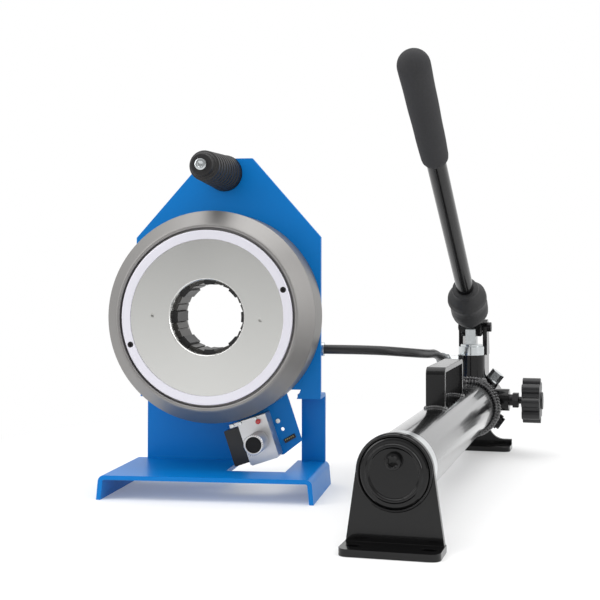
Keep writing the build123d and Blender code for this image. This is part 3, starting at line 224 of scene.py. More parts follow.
def bead(name: str, path: Array, outward: Array, radius: float, ripples: int,
         depth: float) -> Object:
    """A weld bead: a tube along a closed path whose radius swells in crescents.

    The tube's radius is r (1 + depth sin(ripples u + 2 cos v)) with u along the path and
    v round the tube, so that each swell bows like the ripples of a weld.

    Args:
        name: The piece's name.
        path: Points of the path.
        outward: Direction away from the work at each point.
        radius: The bead's mean radius.
        ripples: Number of ripples along the path.
        depth: Height of a ripple as a share of the radius.

    Returns:
        The bead.
    """
    ahead = np.roll(path, -1, axis=0) - np.roll(path, 1, axis=0)
    ahead /= np.linalg.norm(ahead, axis=1, keepdims=True)
    side = np.cross(ahead, outward)
    side /= np.linalg.norm(side, axis=1, keepdims=True)
    normal = np.cross(side, ahead)
    u = np.linspace(0, FULL_TURN, len(path), endpoint=False)[:, None]
    v = np.linspace(0, FULL_TURN, 20, endpoint=False)[None, :]
    uneven = 1 + 0.05 * np.sin(7 * u + 1.3) + 0.04 * np.sin(17 * u)
    swell = radius * uneven * (1 + depth * np.sin(ripples * u + 2 * np.cos(v)))
    points = (path[:, None] + side[:, None] * (swell * np.cos(v))[..., None]
              + normal[:, None] * (swell * np.sin(v))[..., None])
    return surface(name, points, close_rows=True)


def prism(name: str, axes: Axes, outline: Array, depth: float, inset: float = 0.0) -> Object:
    """A closed block: an outline carried along z, its two ends drawn in by an inset.

    Args:
        name: The piece's name.
        axes: The outline lies in x and y, and the block runs along z.
        outline: Points of the outline, one row each.
        depth: Length along z.
        inset: How far both ends are chamfered.

    Returns:
        The block.
    """
    middle = outline.mean(axis=0)
    shrink = 1 - inset / np.abs(outline - middle).max()
    rings = [(0.0, 0.0), (shrink, 0.0), (1.0, inset), (1.0, depth - inset),
             (shrink, depth), (0.0, depth)]
    points = np.stack([axes.place(middle[0] + (outline[:, 0] - middle[0]) * share,
                                  middle[1] + (outline[:, 1] - middle[1]) * share,
                                  np.array(station)) for share, station in rings])
    return surface(name, points, sharp=30.0)


def socket_head(name: str, axes: Axes, radius: float, height: float, socket: float,
                depth: float, segments: int = 96) -> Object:
    """A round screw head with a hexagon socket, its top at height along the frame's z.

    Args:
        name: The piece's name.
        axes: Where the head sits, with z out of the work.
        radius: The head's radius.
        height: The head's height.
        socket: The socket's radius across its flats.
        depth: The socket's depth.
        segments: Points round the head, a multiple of six.

    Returns:
        The head, closed underneath.
    """
    turn = np.linspace(0, FULL_TURN, segments, endpoint=False)
    hexagon = socket / np.cos((turn % (FULL_TURN / 6)) - FULL_TURN / 12)
    edge = 0.2 * radius
    rings = [(0.0, 0.0 * turn), (0.0, radius + 0 * turn), (height - edge, radius + 0 * turn),
             (height - 0.3 * edge, radius - 0.3 * edge + 0 * turn),
             (height, radius - edge + 0 * turn), (height, 1.25 * socket + 0 * turn),
             (height - 0.4 * edge, hexagon), (height - depth, hexagon),
             (height - depth - 0.3 * socket, 0.0 * turn)]
    points = np.stack([axes.place(ring * np.cos(turn), ring * np.sin(turn), np.array(station))
                       for station, ring in rings])
    return surface(name, points, sharp=35.0)


def polygon(sides: int, radius: float) -> Array:
    """The corners of a regular polygon."""
    angle = np.linspace(0, FULL_TURN, sides, endpoint=False)
    return radius * np.column_stack([np.cos(angle), np.sin(angle)])


def joined(name: str, pieces: Sequence[Object]) -> Object:
    """One piece made of several.

    Args:
        name: The piece's name.
        pieces: The pieces, which are used up.

    Returns:
        The joined piece.
    """
    work = bmesh.new()
    for piece in pieces:
        work.from_mesh(piece.data)
        bpy.data.objects.remove(piece)
    mesh = bpy.data.meshes.new(name)
    work.to_mesh(mesh)
    work.free()
    return finished(name, mesh, sharp=30.0, recalculate=False)


# ---------------------------------------------------------------- shader node groups
class Graph:
    """Adds nodes to one tree and links them."""

    def __init__(self, tree: bpy.types.NodeTree) -> None:
        """Keeps the tree."""
        self.tree = tree

    def add(self, kind: str, inputs: Optional[dict] = None, **settings: object) -> bpy.types.Node:
        """Adds a node.

        Args:
            kind: The node's type name without its prefix.
            inputs: Values or sockets for the inputs, by name or number.
            **settings: The node's own properties.

        Returns:
            The node.
        """
        node = self.tree.nodes.new(kind if kind.startswith("Node") else "ShaderNode" + kind)
        for key, value in settings.items():
            setattr(node, key, value)
        for key, value in (inputs or {}).items():
            if isinstance(value, bpy.types.NodeSocket):
                self.tree.links.new(value, node.inputs[key])
            else:
                node.inputs[key].default_value = value
        return node

    def math(self, operation: str, first: object, second: object = 0.0) -> bpy.types.NodeSocket:
        """The result of a Math node."""
        return self.add("Math", {0: first, 1: second}, operation=operation).outputs[0]

    def vector(self, operation: str, first: object, second: object,
               output: str = "Vector") -> bpy.types.NodeSocket:
        """The result of a Vector Math node."""
        return self.add("VectorMath", {0: first, 1: second}, operation=operation).outputs[output]

    def spread(self, value: object, low: object, high: object) -> bpy.types.NodeSocket:
        """A value from 0 to 1 spread between low and high."""
        return self.add("MapRange", {"Value": value, "To Min": low, "To Max": high}).outputs[0]

    def noise(self, vector: object, scale: object, detail: float,
              roughness: float = 0.5) -> bpy.types.NodeSocket:
        """A noise texture's value."""
        return self.add("TexNoise", {"Vector": vector, "Scale": scale, "Detail": detail,
                                     "Roughness": roughness}).outputs["Fac"]


class Effect(Enum):
    """The shared surface effects, each a node group."""

    GRAIN = "fine_grain"
    PEEL = "orange_peel"
    TURNED = "turned_rings"
    BRUSHED = "brushed_lines"
    FOAM = "foam_pores"
    CLOUDS = "soft_clouds"


class EffectLibrary:
    """Builds each effect's node group once."""

    def __init__(self) -> None:
        """Starts with no groups."""
        self.groups: dict[Effect, bpy.types.NodeTree] = {}

    def group(self, effect: Effect) -> bpy.types.NodeTree:
        """The node group of an effect, made at its first use.

        Args:
            effect: The effect.

        Returns:
            The node group.
        """
        if effect not in self.groups:
            tree = bpy.data.node_groups.new(effect.value, "ShaderNodeTree")
            for name, kind in (("Centre", "NodeSocketVector"), ("Axis", "NodeSocketVector"),
                               ("Scale", "NodeSocketFloat")):
                tree.interface.new_socket(name, in_out="INPUT", socket_type=kind)
            for name in ("Tone", "Height"):
                tree.interface.new_socket(name, in_out="OUTPUT", socket_type="NodeSocketFloat")
            graph = Graph(tree)
            inside = graph.add("NodeGroupInput")
            place = graph.add("TexCoord").outputs["Object"]
            tone, height = getattr(self, effect.value)(graph, place, inside)
            graph.add("NodeGroupOutput", {"Tone": tone, "Height": height})
            self.groups[effect] = tree
        return self.groups[effect]

    def fine_grain(self, graph: Graph, place: object, inside: object) -> tuple:
        """Fine even grain, as on moulded or blasted surfaces."""
        value = graph.noise(place, inside.outputs["Scale"], 4.0, 0.6)
        return value, value

    def orange_peel(self, graph: Graph, place: object, inside: object) -> tuple:
        """The soft dimples of sprayed or powder paint, with a few raised specks.

        Args:
            graph: The graph of the effect's group.
            place: The object coordinates.
            inside: The group's input node.

        Returns:
            The tone and the height.
        """
        scale = inside.outputs["Scale"]
        wave = graph.noise(place, scale, 1.0)
        cells = graph.add("TexVoronoi", {"Vector": place,
                                         "Scale": graph.math("MULTIPLY", scale, 0.45)})
        speck = graph.spread(cells.outputs["Distance"], 1.0, 0.0)
        speck = graph.math("POWER", speck, 8.0)
        return speck, graph.math("ADD", wave, speck)

    def turned_rings(self, graph: Graph, place: object, inside: object) -> tuple:
        """Lathe marks: noise that changes with radius and depth but not round the axis.

        Args:
            graph: The graph of the effect's group.
            place: The object coordinates.
            inside: The group's input node.

        Returns:
            The tone and the height.
        """
        local = graph.vector("SUBTRACT", place, inside.outputs["Centre"])
        axis = inside.outputs["Axis"]
        across = graph.vector("CROSS_PRODUCT", axis, local)
        radius = graph.vector("LENGTH", across, (0, 0, 0), "Value")
        depth = graph.vector("DOT_PRODUCT", axis, local, "Value")
        scale = inside.outputs["Scale"]
        ring = graph.add("CombineXYZ", {0: graph.math("MULTIPLY", radius, scale),
                                        1: graph.math("MULTIPLY", depth, scale)}).outputs[0]
        value = graph.noise(ring, 1.0, 3.0, 0.7)
        return value, value

    def brushed_lines(self, graph: Graph, place: object, inside: object) -> tuple:
        """Straight brushing along the axis: noise squeezed flat along it.

        Args:
            graph: The graph of the effect's group.
            place: The object coordinates.
            inside: The group's input node.

        Returns:
            The tone and the height.
        """
        axis = inside.outputs["Axis"]
        along = graph.vector("DOT_PRODUCT", axis, place, "Value")
        back = graph.add("VectorMath", {0: axis, "Scale": graph.math("MULTIPLY", along, 0.985)},
                         operation="SCALE").outputs[0]
        across = graph.vector("SUBTRACT", place, back)
        value = graph.noise(across, inside.outputs["Scale"], 3.0, 0.6)
        return value, value

    def foam_pores(self, graph: Graph, place: object, inside: object) -> tuple:
        """Closed-cell foam: small round pores over soft lumps.

        Args:
            graph: The graph of the effect's group.
            place: The object coordinates.
            inside: The group's input node.

        Returns:
            The tone and the height.
        """
        scale = inside.outputs["Scale"]
        pores = graph.add("TexVoronoi", {"Vector": place, "Scale": scale})
        lumps = graph.noise(place, graph.math("MULTIPLY", scale, 0.25), 3.0)
        tone = graph.math("ADD", graph.math("MULTIPLY", pores.outputs["Distance"], 0.6),
                          graph.math("MULTIPLY", lumps, 0.5))
        return tone, tone

    def soft_clouds(self, graph: Graph, place: object, inside: object) -> tuple:
        """Large soft patches, as left by handling and wiping."""
        value = graph.noise(place, inside.outputs["Scale"], 5.0, 0.55)
        return value, value


EFFECTS = EffectLibrary()


# ---------------------------------------------------------------- finishes
@dataclass(frozen=True)
class Finish:
    """How one kind of surface looks.

    The colour and roughness drift between their low and high values with soft clouds and
    with the effect's own tone, and the effect's height makes the bump.
    """

    name: str
    colour: Colour
    roughness: tuple[float, float] = (0.4, 0.5)
    metallic: float = 0.0
    effect: Effect = Effect.GRAIN
    scale: float = 900.0
    shade: float = 0.12
    bump: float = 0.2
    height: float = 0.0002
    coat: float = 0.0
    coat_roughness: float = 0.06
    specular: float = 0.5
    anisotropy: float = 0.0
    cloud_scale: float = 14.0
    axis: tuple[float, float, float] = (0.0, 1.0, 0.0)
    centre: tuple[float, float, float] = (0.0, 0.0, 0.0)

    def build(self) -> Material:
        """The material.

        Returns:
            The material.
        """
        material = bpy.data.materials.new(self.name)
        material.use_nodes = True
        material.node_tree.nodes.clear()
        graph = Graph(material.node_tree)
        marks = graph.add("Group", node_tree=EFFECTS.group(self.effect))
        marks.inputs["Scale"].default_value = self.scale
        marks.inputs["Axis"].default_value = self.axis
        marks.inputs["Centre"].default_value = self.centre
        clouds = graph.add("Group", node_tree=EFFECTS.group(Effect.CLOUDS))
        clouds.inputs["Scale"].default_value = self.cloud_scale
        tone = graph.math("ADD", graph.math("MULTIPLY", marks.outputs["Tone"], 0.6),
                          graph.math("MULTIPLY", clouds.outputs["Tone"], 0.4))
        dark = [channel * (1 - self.shade) for channel in self.colour] + [1.0]
        light = [min(1.0, channel * (1 + self.shade)) for channel in self.colour] + [1.0]
        colour = graph.add("Mix", {"Factor": tone, "A": dark, "B": light}, data_type="RGBA")
        bump = graph.add("Bump", {"Height": marks.outputs["Height"], "Strength": self.bump,
                                  "Distance": self.height})
        shader = graph.add("BsdfPrincipled", {
            "Base Color": [o for o in colour.outputs if o.type == "RGBA"][0],
            "Roughness": graph.spread(clouds.outputs["Tone"], *self.roughness),
            "Metallic": self.metallic, "Coat Weight": self.coat,
            "Coat Roughness": self.coat_roughness, "Specular IOR Level": self.specular,
            "Anisotropic": self.anisotropy, "Normal": bump.outputs["Normal"]})
        if self.anisotropy:
            place = graph.add("TexCoord").outputs["Object"]
            local = graph.vector("SUBTRACT", place, self.centre)
            round_axis = graph.vector("CROSS_PRODUCT", local, self.axis)
            tangent = graph.add("VectorMath", {0: round_axis}, operation="NORMALIZE").outputs[0]
            graph.tree.links.new(tangent, shader.inputs["Tangent"])
        graph.add("OutputMaterial", {"Surface": shader.outputs[0]})
        return material


class Finishes:
    """Every finish of the machine, made into materials once."""

    def __init__(self, head_axis: Axes, pump: Axes) -> None:
        """Builds the materials round the axes of the head and of the tank.

        Args:
            head_axis: The head's frame.
            pump: The pump's frame.
        """
        head = {"axis": tuple(head_axis.z), "centre": tuple(head_axis.origin)}
        tank = {"axis": tuple(pump.z), "centre": tuple(pump.origin)}
        black = (0.004, 0.004, 0.0043)
        self.blue_paint = Finish(
            "blue_powder_coat", (0.0, 0.18, 0.56), (0.3, 0.38), effect=Effect.PEEL,
            scale=1500.0, shade=0.05, bump=0.22, height=0.00012, specular=0.18).build()
        self.black_enamel = Finish(
            "black_enamel", black, (0.16, 0.24), effect=Effect.PEEL, scale=420.0, bump=0.3,
            height=0.00012, coat=0.3, coat_roughness=0.05, specular=0.2).build()
        self.turned_steel = Finish(
            "turned_steel", (0.31, 0.302, 0.295), (0.5, 0.56), metallic=1.0,
            effect=Effect.TURNED, scale=2600.0, shade=0.1, bump=0.12, height=0.00006,
            anisotropy=0.15, **head).build()
        self.ring_steel = Finish(
            "satin_ring", (0.8, 0.79, 0.86), (0.42, 0.5), metallic=0.6, effect=Effect.GRAIN,
            scale=2400.0, shade=0.05, bump=0.25, height=0.00006, **head).build()
        self.cover_steel = Finish(
            "faced_steel", (0.7, 0.7, 0.68), (0.23, 0.27), metallic=1.0, effect=Effect.TURNED,
            scale=3800.0, shade=0.05, bump=0.06, height=0.00004, anisotropy=0.3, **head).build()
        self.die_steel = Finish(
            "ground_dies", (0.075, 0.073, 0.07), (0.34, 0.45), metallic=1.0,
            effect=Effect.BRUSHED, scale=1400.0, shade=0.18, bump=0.2, height=0.00006,
            **head).build()
        self.cage_steel = Finish(
            "blackened_cage", (0.02, 0.02, 0.021), (0.35, 0.5), metallic=0.4,
            effect=Effect.GRAIN, scale=1500.0, shade=0.2, bump=0.2, height=0.00005).build()
        self.black_oxide = Finish(
            "black_oxide", (0.025, 0.024, 0.026), (0.3, 0.42), metallic=0.7,
            effect=Effect.GRAIN, scale=1900.0, shade=0.2, bump=0.2, height=0.00005).build()
        self.zinc = Finish(
            "bright_zinc", (0.62, 0.65, 0.66), (0.16, 0.28), metallic=1.0, effect=Effect.CLOUDS,
            scale=90.0, shade=0.14, bump=0.15, height=0.00006).build()
        self.tank_steel = Finish(
            "dark_tank", (0.15, 0.153, 0.157), (0.15, 0.22), metallic=1.0,
            effect=Effect.BRUSHED, scale=260.0, shade=0.12, bump=0.1, height=0.00005, coat=0.5,
            cloud_scale=6.0, **tank).build()
        self.collar_steel = Finish(
            "satin_band", (0.66, 0.68, 0.69), (0.24, 0.34), metallic=0.9, effect=Effect.TURNED,
            scale=1200.0, shade=0.06, bump=0.15, height=0.00005, **tank).build()
        self.aluminium = Finish(
            "milled_aluminium", (0.66, 0.66, 0.67), (0.3, 0.42), metallic=0.9,
            effect=Effect.GRAIN, scale=1500.0, shade=0.1, bump=0.3, height=0.00008).build()
        self.weld = Finish(
            "painted_weld", (0.014, 0.014, 0.015), (0.12, 0.2), effect=Effect.GRAIN,
            scale=700.0, bump=0.5, height=0.0003, coat=1.0, coat_roughness=0.04,
            specular=0.8).build()
        self.brass = Finish(
            "pin_metal", (0.75, 0.6, 0.28), (0.25, 0.35), metallic=1.0, effect=Effect.GRAIN,
            scale=1500.0, shade=0.1, bump=0.1, height=0.00005).build()
        self.rubber = Finish(
            "grip_rubber", (0.012, 0.0115, 0.012), (0.42, 0.55), effect=Effect.GRAIN,
            scale=1400.0, bump=0.3, height=0.0001, specular=0.4).build()
        self.boot_rubber = Finish(
            "boot_rubber", (0.022, 0.022, 0.023), (0.5, 0.62), effect=Effect.GRAIN,
            scale=1100.0, bump=0.4, height=0.00015, specular=0.4, cloud_scale=40.0).build()
        self.foam = Finish(
            "handle_foam", (0.03, 0.03, 0.032), (0.72, 0.85), effect=Effect.FOAM, scale=1300.0,
            shade=0.4, bump=0.6, height=0.0003, specular=0.3).build()
        self.hose_rubber = Finish(
            "hose_cover", (0.013, 0.013, 0.014), (0.34, 0.44), effect=Effect.GRAIN,
            scale=1700.0, bump=0.3, height=0.0001).build()
        self.plastic = Finish(
            "black_plastic", (0.012, 0.012, 0.013), (0.33, 0.43), effect=Effect.GRAIN,
            scale=2200.0, bump=0.35, height=0.00008).build()
        self.lamp_red = Finish(
            "lamp_lens", (0.55, 0.01, 0.015), (0.12, 0.2), effect=Effect.CLOUDS, scale=200.0,
            bump=0.05, coat=0.8).build()
        self.dial_black = Finish(
            "dial_face_ink", (0.012, 0.012, 0.013), (0.5, 0.6), effect=Effect.GRAIN,
            scale=2500.0, bump=0.2, height=0.00005, specular=0.12).build()


# ---------------------------------------------------------------- shared work on CAD nodes
def dress(material: Material, *nodes: str, bevel: float = 0.4 * MM,
          angle: float = 35.0) -> None:
    """Gives CAD nodes a material, clean shading and slightly broken edges.

    Args:
        material: The finish.
        *nodes: Names of the nodes.
        bevel: Width of the broken edges, or 0 for none.
        angle: Edges sharper than this many degrees count as edges.
    """
    for name in nodes:
        node = frame["nodes"][name]
        for holder in node.material_slots:
            holder.material = material
        mesh = node.data
        if mesh.has_custom_normals:
            mesh.attributes.remove(mesh.attributes["custom_normal"])
        mesh.polygons.foreach_set("use_smooth", np.ones(len(mesh.polygons), bool))
        node.modifiers.new("weld", "WELD").merge_threshold = 0.002 * MM
        flat = node.modifiers.new("flat_faces", "DECIMATE")
        flat.decimate_type = "DISSOLVE"
        flat.angle_limit = math.radians(0.6)
        if bevel:
            edge = node.modifiers.new("broken_edges", "BEVEL")
            edge.width = bevel
            edge.segments = 2
            edge.limit_method = "ANGLE"
            edge.angle_limit = math.radians(angle)
            edge.use_clamp_overlap = True
        split = node.modifiers.new("crisp_edges", "EDGE_SPLIT")
        split.split_angle = math.radians(angle)
        node.modifiers.new("face_weighted_normals", "WEIGHTED_NORMAL").keep_sharp = True
        LOG.info("%s dressed in %s", name, material.name)


def placed(piece: Object, material: Material, body: str, slot: str, *replaced: str) -> Object:
    """Gives a new piece its material and its body.

    Args:
        piece: The new piece.
        material: Its finish.
        body: The CAD body it moves with.
        slot: The record's material slot; not used.
        *replaced: CAD nodes that it stands for.

    Returns:
        The same piece.
    """
    piece.data.materials.append(material)
    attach(piece, body)
    if replaced:
        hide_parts(*replaced)
    LOG.info("%s made, on %s", piece.name, body)
    return piece


# ---------------------------------------------------------------- the hose
@dataclass(frozen=True)
class Hose:
    """The high-pressure hose from the head's port to the pump's outlet."""

    diameter: float = 11.2 * MM
    length: float = 0.284
    route: tuple[tuple[float, float, float], ...] = (
        (-0.01356, -0.00396, 0.16507), (0.04244, -0.00396, 0.16507), (0.09, 0.033, 0.159),
        (0.107, 0.096, 0.153), (0.11123, 0.14666, 0.1506), (0.11757, 0.20107, 0.13896))

    def build(self, finishes: Finishes) -> None:
        """Args:
            finishes: The machine's finishes.
        """
        curve = bpy.data.curves.new("hose", "CURVE")
        curve.dimensions = "3D"
        curve.bevel_depth = self.diameter / 2
        curve.bevel_resolution = 8
        curve.resolution_u = 24
        curve.render_resolution_u = 24
        curve.use_fill_caps = True
        spline = curve.splines.new("NURBS")
        spline.points.add(len(self.route) - 1)
        for point, place in zip(spline.points, self.route):
            point.co = (*place, 1.0)
        spline.order_u = 3
        spline.use_endpoint_u = True
        hose = bpy.data.objects.new("hose", curve)
        bpy.context.scene.collection.objects.link(hose)
        placed(hose, finishes.hose_rubber, "machine", "hose_rubber", "hydraulic_hose")
        dress(finishes.zinc, "head_ferrule", "pump_ferrule")


# ---------------------------------------------------------------- the crimper
@dataclass(frozen=True)
class Stand:
    """The bent base, the back plate and the control unit's bracket."""

    edge: float = 0.5 * MM

    def build(self, finishes: Finishes) -> None:
        """Paints the stand's plates."""
        dress(finishes.blue_paint, "base_frame", "back_plate", "control_bracket",
              bevel=self.edge)


@dataclass(frozen=True)
class Head:
    """The crimping head, in millimetres along the crimp axis from the base's front edge."""

    axes: Axes
    rim: Profile = ((16.6, 102.3), (15.1, 103.6), (15.0, 105.8), (16.8, 107.9))
    cone_end: tuple[float, float] = (34.5, 123.1)
    body_start: float = 35.4
    body_radius: float = 122.5
    shoulder: float = 83.6
    barrel_radius: float = 103.0
    barrel_end: float = 109.29
    bore_radius: float = 92.05
    bore_start: float = 29.05
    ring_seat_radius: float = 100.05
    ring_seat: float = 21.0
    shell_corner: float = 0.9
    cover_end: float = 119.29
    cover_chamfer: float = 2.0
    cover_corner: float = 0.8
    hub_front: float = 76.6
    hub_radius: float = 52.95
    throat_radii: tuple[float, float, float] = (45.0, 50.4, 54.5)
    plug_circle: float = 63.0
    plug_angle: float = 2.3
    plug_station: float = 20.4
    plug: Profile = ((0, 2.3), (-1.2, 2.2), (-2.4, 1.6), (-2.9, 0.8), (-3.1, 0))
    dies: int = 8

    def build(self, finishes: Finishes) -> None:
        """Makes the turned pieces and dresses the rest of the head.

        Args:
            finishes: The machine's finishes.
        """
        self.make_shell(finishes)
        self.make_rear_cover(finishes)
        self.make_plugs(finishes)
        dress(finishes.turned_steel, "ring_piston")
        dress(finishes.ring_steel, "face_ring")
        dress(finishes.cover_steel, "front_cover")
        dies = [f"die_{number + 1}" for number in range(self.dies)]
        dress(finishes.die_steel, *dies, bevel=FINE_EDGE)
        dress(finishes.cage_steel, "guide_cage", "piston_seals", bevel=0.0)
        dress(finishes.black_oxide, "ring_plugs", "rear_cover_screws", "head_bolts",
              bevel=SMALL_EDGE)
        dress(finishes.zinc, "bracket_screws", "port_fitting", bevel=FINE_EDGE)

    def make_shell(self, finishes: Finishes) -> None:
        """The shell: a rounded rim, a broad cone, the body and the rear barrel.

        Args:
            finishes: The machine's finishes.
        """
        profile = [*self.rim, self.cone_end, (self.body_start, self.body_radius),
                   (self.shoulder, self.body_radius), (self.shoulder, self.barrel_radius),
                   (self.barrel_end, self.barrel_radius), (self.barrel_end, self.bore_radius),
                   (self.bore_start, self.bore_radius),
                   (self.bore_start, self.ring_seat_radius),
                   (self.ring_seat, self.ring_seat_radius), (self.ring_seat, self.rim[0][1])]
        outline = MM * rounded(profile, self.shell_corner, closed=True)
        shell = turned("head_shell", self.axes, outline, segments=256, closed=True)
        placed(shell, finishes.turned_steel, "machine", "turned_steel", "head_housing")

    def make_rear_cover(self, finishes: Finishes) -> None:
        """The rear cover with its hub, and a throat that widens towards the rear.

        Args:
            finishes: The machine's finishes.
        """
        front, middle, rear = self.throat_radii
        profile = [(self.hub_front, front), (self.hub_front, self.hub_radius),
                   (self.barrel_end, self.hub_radius), (self.barrel_end, self.barrel_radius),
                   (self.cover_end - self.cover_chamfer, self.barrel_radius),
                   (self.cover_end, self.barrel_radius - self.cover_chamfer),
                   (self.cover_end, rear), (self.barrel_end, middle)]
        outline = MM * rounded(profile, self.cover_corner, closed=True)
        cover = turned("rear_disc", self.axes, outline, segments=192, closed=True)
        placed(cover, finishes.turned_steel, "machine", "turned_steel", "rear_cover")

    def make_plugs(self, finishes: Finishes) -> None:
        """The two small domes in the front cover's dimples, on opposite sides.

        Args:
            finishes: The machine's finishes.
        """
        angle = math.radians(self.plug_angle)
        across = -self.plug_circle * MM * math.sin(angle)
        along = -self.plug_circle * MM * math.cos(angle)
        domes = []
        for side in (-1.0, 1.0):
            seat = self.axes.moved(side * across, side * along, self.plug_station * MM)
            domes.append(turned("dome", seat, MM * np.array(self.plug), segments=32))
        placed(joined("cover_plugs", domes), finishes.zinc, "machine", "cover_steel")


@dataclass(frozen=True)
class CarryGrip:
    """The ribbed rubber grip and the bolt through it.

    The axis's z runs rearwards. Front and rear are in metres along it, from the grip's
    front face to the back plate. The other sizes are in millimetres, and shares are of the
    grip's length.
    """

    axes: Axes
    front: float
    rear: float
    nose_radius: float = 16.6
    taper: float = 5.0
    root_radius: float = 22.0
    bore_radius: float = 5.0
    recess: Profile = ((0.0, 12.4), (8.5, 13.0), (9.0, 16.6))
    recess_corner: float = 1.2
    rib_start: float = 0.1
    rib_span: float = 0.86
    rib_end: float = 0.955
    rib_count: int = 9
    groove_depth: float = 2.1
    head_size: tuple[float, float] = (6.8, 3.9)
    head_socket: tuple[float, float] = (3.0, 2.4)
    shank_reach: float = 15.0
    shank_end: tuple[float, float] = (0.5, 4.4)
    nut_radius: float = 9.0
    nut_height: float = 6.0
    nut_chamfer: float = 0.6
    plate: float = 6.0

    def build(self, finishes: Finishes) -> None:
        """Makes the grip and its bolt."""
        self.make_sleeve(finishes)
        self.make_bolt(finishes)

    def make_sleeve(self, finishes: Finishes) -> None:
        """The grip: nine grooves cut into a taper, behind a plain nose with a recess.

        Args:
            finishes: The machine's finishes.
        """
        station = np.linspace(self.rib_start, 1.0, 420)
        taper = (self.nose_radius + self.taper * station) * MM
        way = (station - self.rib_start) / self.rib_span
        wave = 0.5 + 0.5 * np.cos(FULL_TURN * self.rib_count * way)
        groove = np.clip(1.6 * wave - 0.75, 0.0, 0.62) / 0.62
        groove[station > self.rib_end] = 0.0
        ribs = np.column_stack([self.front + station * (self.rear - self.front),
                                taper - self.groove_depth * MM * groove])
        bore = self.bore_radius * MM
        recess = [(self.front + depth * MM, radius * MM) for depth, radius in self.recess]
        nose = rounded([(self.front, bore), *recess], self.recess_corner * MM)
        root = np.array([[self.rear, self.root_radius * MM], [self.rear, bore]])
        sleeve = turned("grip_sleeve", self.axes, np.vstack([nose[:-1], ribs, root]),
                        segments=160)
        placed(sleeve, finishes.rubber, "machine", "grip_rubber", "carry_grip")

    def make_bolt(self, finishes: Finishes) -> None:
        """The bolt: a socket head in the nose, a shank, and a nut behind the plate.

        Args:
            finishes: The machine's finishes.
        """
        start = self.axes.moved(0.0, 0.0, self.front).origin
        facing = axes_along(start, -self.axes.z, self.axes.x)
        radius, height = np.array(self.head_size) * MM
        socket, depth = np.array(self.head_socket) * MM
        head = socket_head("bolt_head", facing, radius, height, socket, depth)
        end, shank_radius = self.rear + self.shank_reach * MM, self.bore_radius * MM
        chamfer, end_radius = np.array(self.shank_end) * MM
        shank = turned("bolt_shank", self.axes, np.array([
            [self.front, 0], [self.front, shank_radius], [end - chamfer, shank_radius],
            [end, end_radius], [end, 0]]), segments=64)
        nut = prism("bolt_nut", self.axes.moved(0.0, 0.0, self.rear + self.plate * MM),
                    polygon(6, self.nut_radius * MM), self.nut_height * MM,
                    self.nut_chamfer * MM)
        bolt = joined("grip_fastener", [head, shank, nut])
        placed(bolt, finishes.zinc, "machine", "zinc_steel", "grip_bolt")


@dataclass(frozen=True)
class ControlUnit:
    """The control unit, in millimetres.

    Its frame starts on the crimp axis, with x across the unit, y outwards and z forward.
    """

    axes: Axes
    dial_centre: tuple[float, float] = (3.0, 155.0)
    mark_station: float = -27.5
    mark_radius: float = 11.55
    mark_count: int = 30
    long_every: int = 5
    long_mark: float = 6.0
    short_mark: float = 3.4
    mark_width: float = 0.44
    mark_height: float = 0.14
    mark_chamfer: float = 0.02
    pin_start: tuple[float, float, float] = (28.0, 165.0, -83.0)
    pin_step: tuple[float, float] = (2.5, -0.45)
    pin_count: int = 5
    pin: Profile = ((0, 0.0), (0, 0.55), (3.2, 0.55), (3.6, 0.2), (3.6, 0.0))

    def build(self, finishes: Finishes) -> None:
        """Makes the marks and the pins, and dresses the rest of the unit.

        Args:
            finishes: The machine's finishes.
        """
        dress(finishes.zinc, "control_screws", "dial_spindle", bevel=FINE_EDGE)
        dress(finishes.plastic, "control_connector", "switch_box")
        dress(finishes.aluminium, "control_block", "dial_knob", bevel=SMALL_EDGE)
        dress(finishes.lamp_red, "indicator_lamp", bevel=0.0)
        dress(finishes.dial_black, "dial_face", bevel=0.1 * MM)
        self.make_marks(finishes)
        self.make_pins(finishes)

    def make_marks(self, finishes: Finishes) -> None:
        """The dial's graduations, each fifth one long, standing on its edge.

        Args:
            finishes: The machine's finishes.
        """
        hub = self.axes.moved(*(place * MM for place in self.dial_centre), 0.0)
        half = self.mark_width / 2
        marks = []
        for number in range(self.mark_count):
            angle = FULL_TURN * number / self.mark_count
            length = self.short_mark if number % self.long_every else self.long_mark
            out = hub.x * math.cos(angle) + hub.y * math.sin(angle)
            start = hub.origin + (out * self.mark_radius + hub.z * self.mark_station) * MM
            outline = MM * np.array([[0, -half], [length, -half], [length, half], [0, half]])
            marks.append(prism("mark", axes_along(start, out, hub.z), outline,
                               self.mark_height * MM, self.mark_chamfer * MM))
        placed(joined("dial_marks", marks), finishes.dial_black, "dial", "dial_black")

    def make_pins(self, finishes: Finishes) -> None:
        """The row of pins in the connector.

        Args:
            finishes: The machine's finishes.
        """
        pins = []
        for number in range(self.pin_count):
            across = self.pin_start[0] + self.pin_step[0] * number
            outwards = self.pin_start[1] + self.pin_step[1] * number
            place = self.axes.moved(across * MM, outwards * MM, self.pin_start[2] * MM)
            pins.append(turned("pin", place, MM * np.array(self.pin), segments=16))
        placed(joined("connector_pins", pins), finishes.brass, "machine", "zinc_steel")


